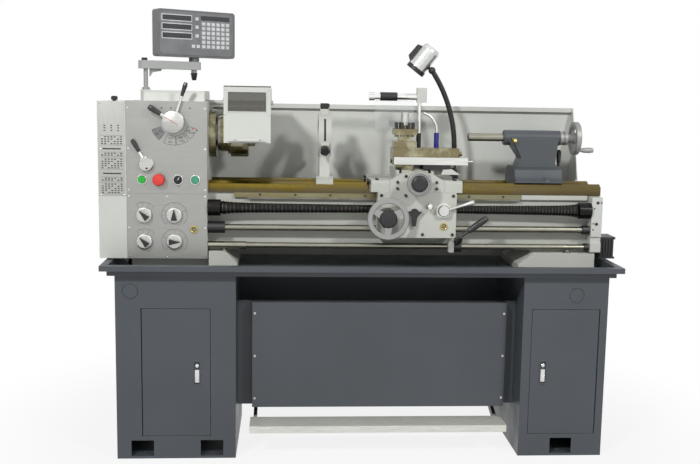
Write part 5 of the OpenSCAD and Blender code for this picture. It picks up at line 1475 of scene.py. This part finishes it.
def build_pieces():
    """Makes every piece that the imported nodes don't show."""
    spring_covers()
    door_latches()
    cabinet_knock_outs()
    knee_panel_screws()
    bed_bolts()
    rod_bracket_details()
    rack_details()
    panel_screws()
    button_collars()
    selector_pointer()
    hub_caps()
    panel_prints()
    sight_glasses()
    chart_plate()
    apron_screws()
    apron_bracket()
    tailstock_details()
    way_wipers()
    handwheel_dials()
    wheel_rims()
    steady_details()
    compound_scale()
    lamp_neck()
    guard_details()
    readout_face()
    readout_arm_details()


# Stage and light
def build_stage():
    """A pale floor that keeps the shadow, a white surround and studio light from both sides."""
    scene = bpy.context.scene
    scene.view_settings.view_transform = "Standard"
    floor_mesh = bpy.data.meshes.new("floor")
    reach = 14.0
    bed_middle = (0.0, 0.0, 0.85)
    corners = [(-reach, -reach, 0), (reach, -reach, 0), (reach, reach, 0), (-reach, reach, 0)]
    floor_mesh.from_pydata(corners, [], [(0, 1, 2, 3)])
    floor = bpy.data.objects.new("floor", floor_mesh)
    scene.collection.objects.link(floor)
    floor_mesh.materials.append(floor_finish())
    surround()
    lamp("left_key", (-2.3, -3.6, 3.6), bed_middle, size=0.45, power=125)
    lamp("right_key", (2.8, -3.6, 3.6), bed_middle, size=0.45, power=95)
    lamp("fill", (0.4, -3.8, 1.6), (0.1, 0.0, 0.8), size=2.6, power=10)
    lamp("top", (0.0, -0.6, 3.8), (0.0, 0.0, 0.9), size=2.8, power=8)


def floor_finish():
    """Pale floor: mostly white to the camera, darker where the lathe shades it, and white far from it."""
    finish = Finish("floor")
    grain = finish.noise(4.0, 3.0)
    finish.shade(Base_Color=(0.7, 0.7, 0.7, 1), Roughness=finish.spread(grain, 0.3, 0.7, 0.85, 0.95))
    path = finish.add("ShaderNodeLightPath", output="Is Camera Ray")
    shine = finish.add("ShaderNodeLightPath", output="Is Glossy Ray")
    away = finish.add("ShaderNodeVectorMath", {"operation": "LENGTH"}, {0: finish.here}, "Value")
    shaded_to = 0.8
    white_from = 1.7
    white = finish.spread(away, shaded_to, white_from, 0.86, 1.0)
    glow = finish.add("ShaderNodeEmission", inputs={"Color": (1, 1, 1, 1), "Strength": 1.0})
    base = Value(finish, finish.shader.outputs[0])
    blend = finish.add("ShaderNodeMixShader", inputs={0: (path + shine) * white, 1: base, 2: glow})
    output = next(n for n in finish.tree.nodes if n.type == "OUTPUT_MATERIAL")
    finish.tree.links.new(blend.socket, output.inputs["Surface"])
    return finish.material


def surround():
    """A world that is white to the camera, in reflections and through glass, and lights the lathe softly."""
    world = bpy.data.worlds.new("surround")
    world.use_nodes = True
    bpy.context.scene.world = world
    tree = world.node_tree
    path = add_node(tree, "ShaderNodeLightPath").outputs
    seen = path["Is Camera Ray"]
    for kind in ("Is Glossy Ray", "Is Transmission Ray"):
        seen = add_node(tree, "ShaderNodeMath", {0: seen, 1: path[kind]}, operation="MAXIMUM").outputs[0]
    soft_light = 0.15
    level = add_node(tree, "ShaderNodeMapRange", {"Value": seen, "To Min": soft_light, "To Max": 1.0})
    back = next(n for n in tree.nodes if n.type == "BACKGROUND")
    plug(tree, back.inputs["Strength"], level.outputs[0])
    plug(tree, back.inputs["Color"], (1, 1, 1, 1))


def lamp(name, at, target, size, power):
    """A square soft lamp aimed at a point."""
    data = bpy.data.lights.new(name, "AREA")
    data.size = size
    data.energy = power
    light = bpy.data.objects.new(name, data)
    light.location = at
    light.rotation_euler = (Vector(target) - Vector(at)).to_track_quat("-Z", "Y").to_euler()
    bpy.context.scene.collection.objects.link(light)


place_camera()
dress_nodes()
build_pieces()
build_stage()
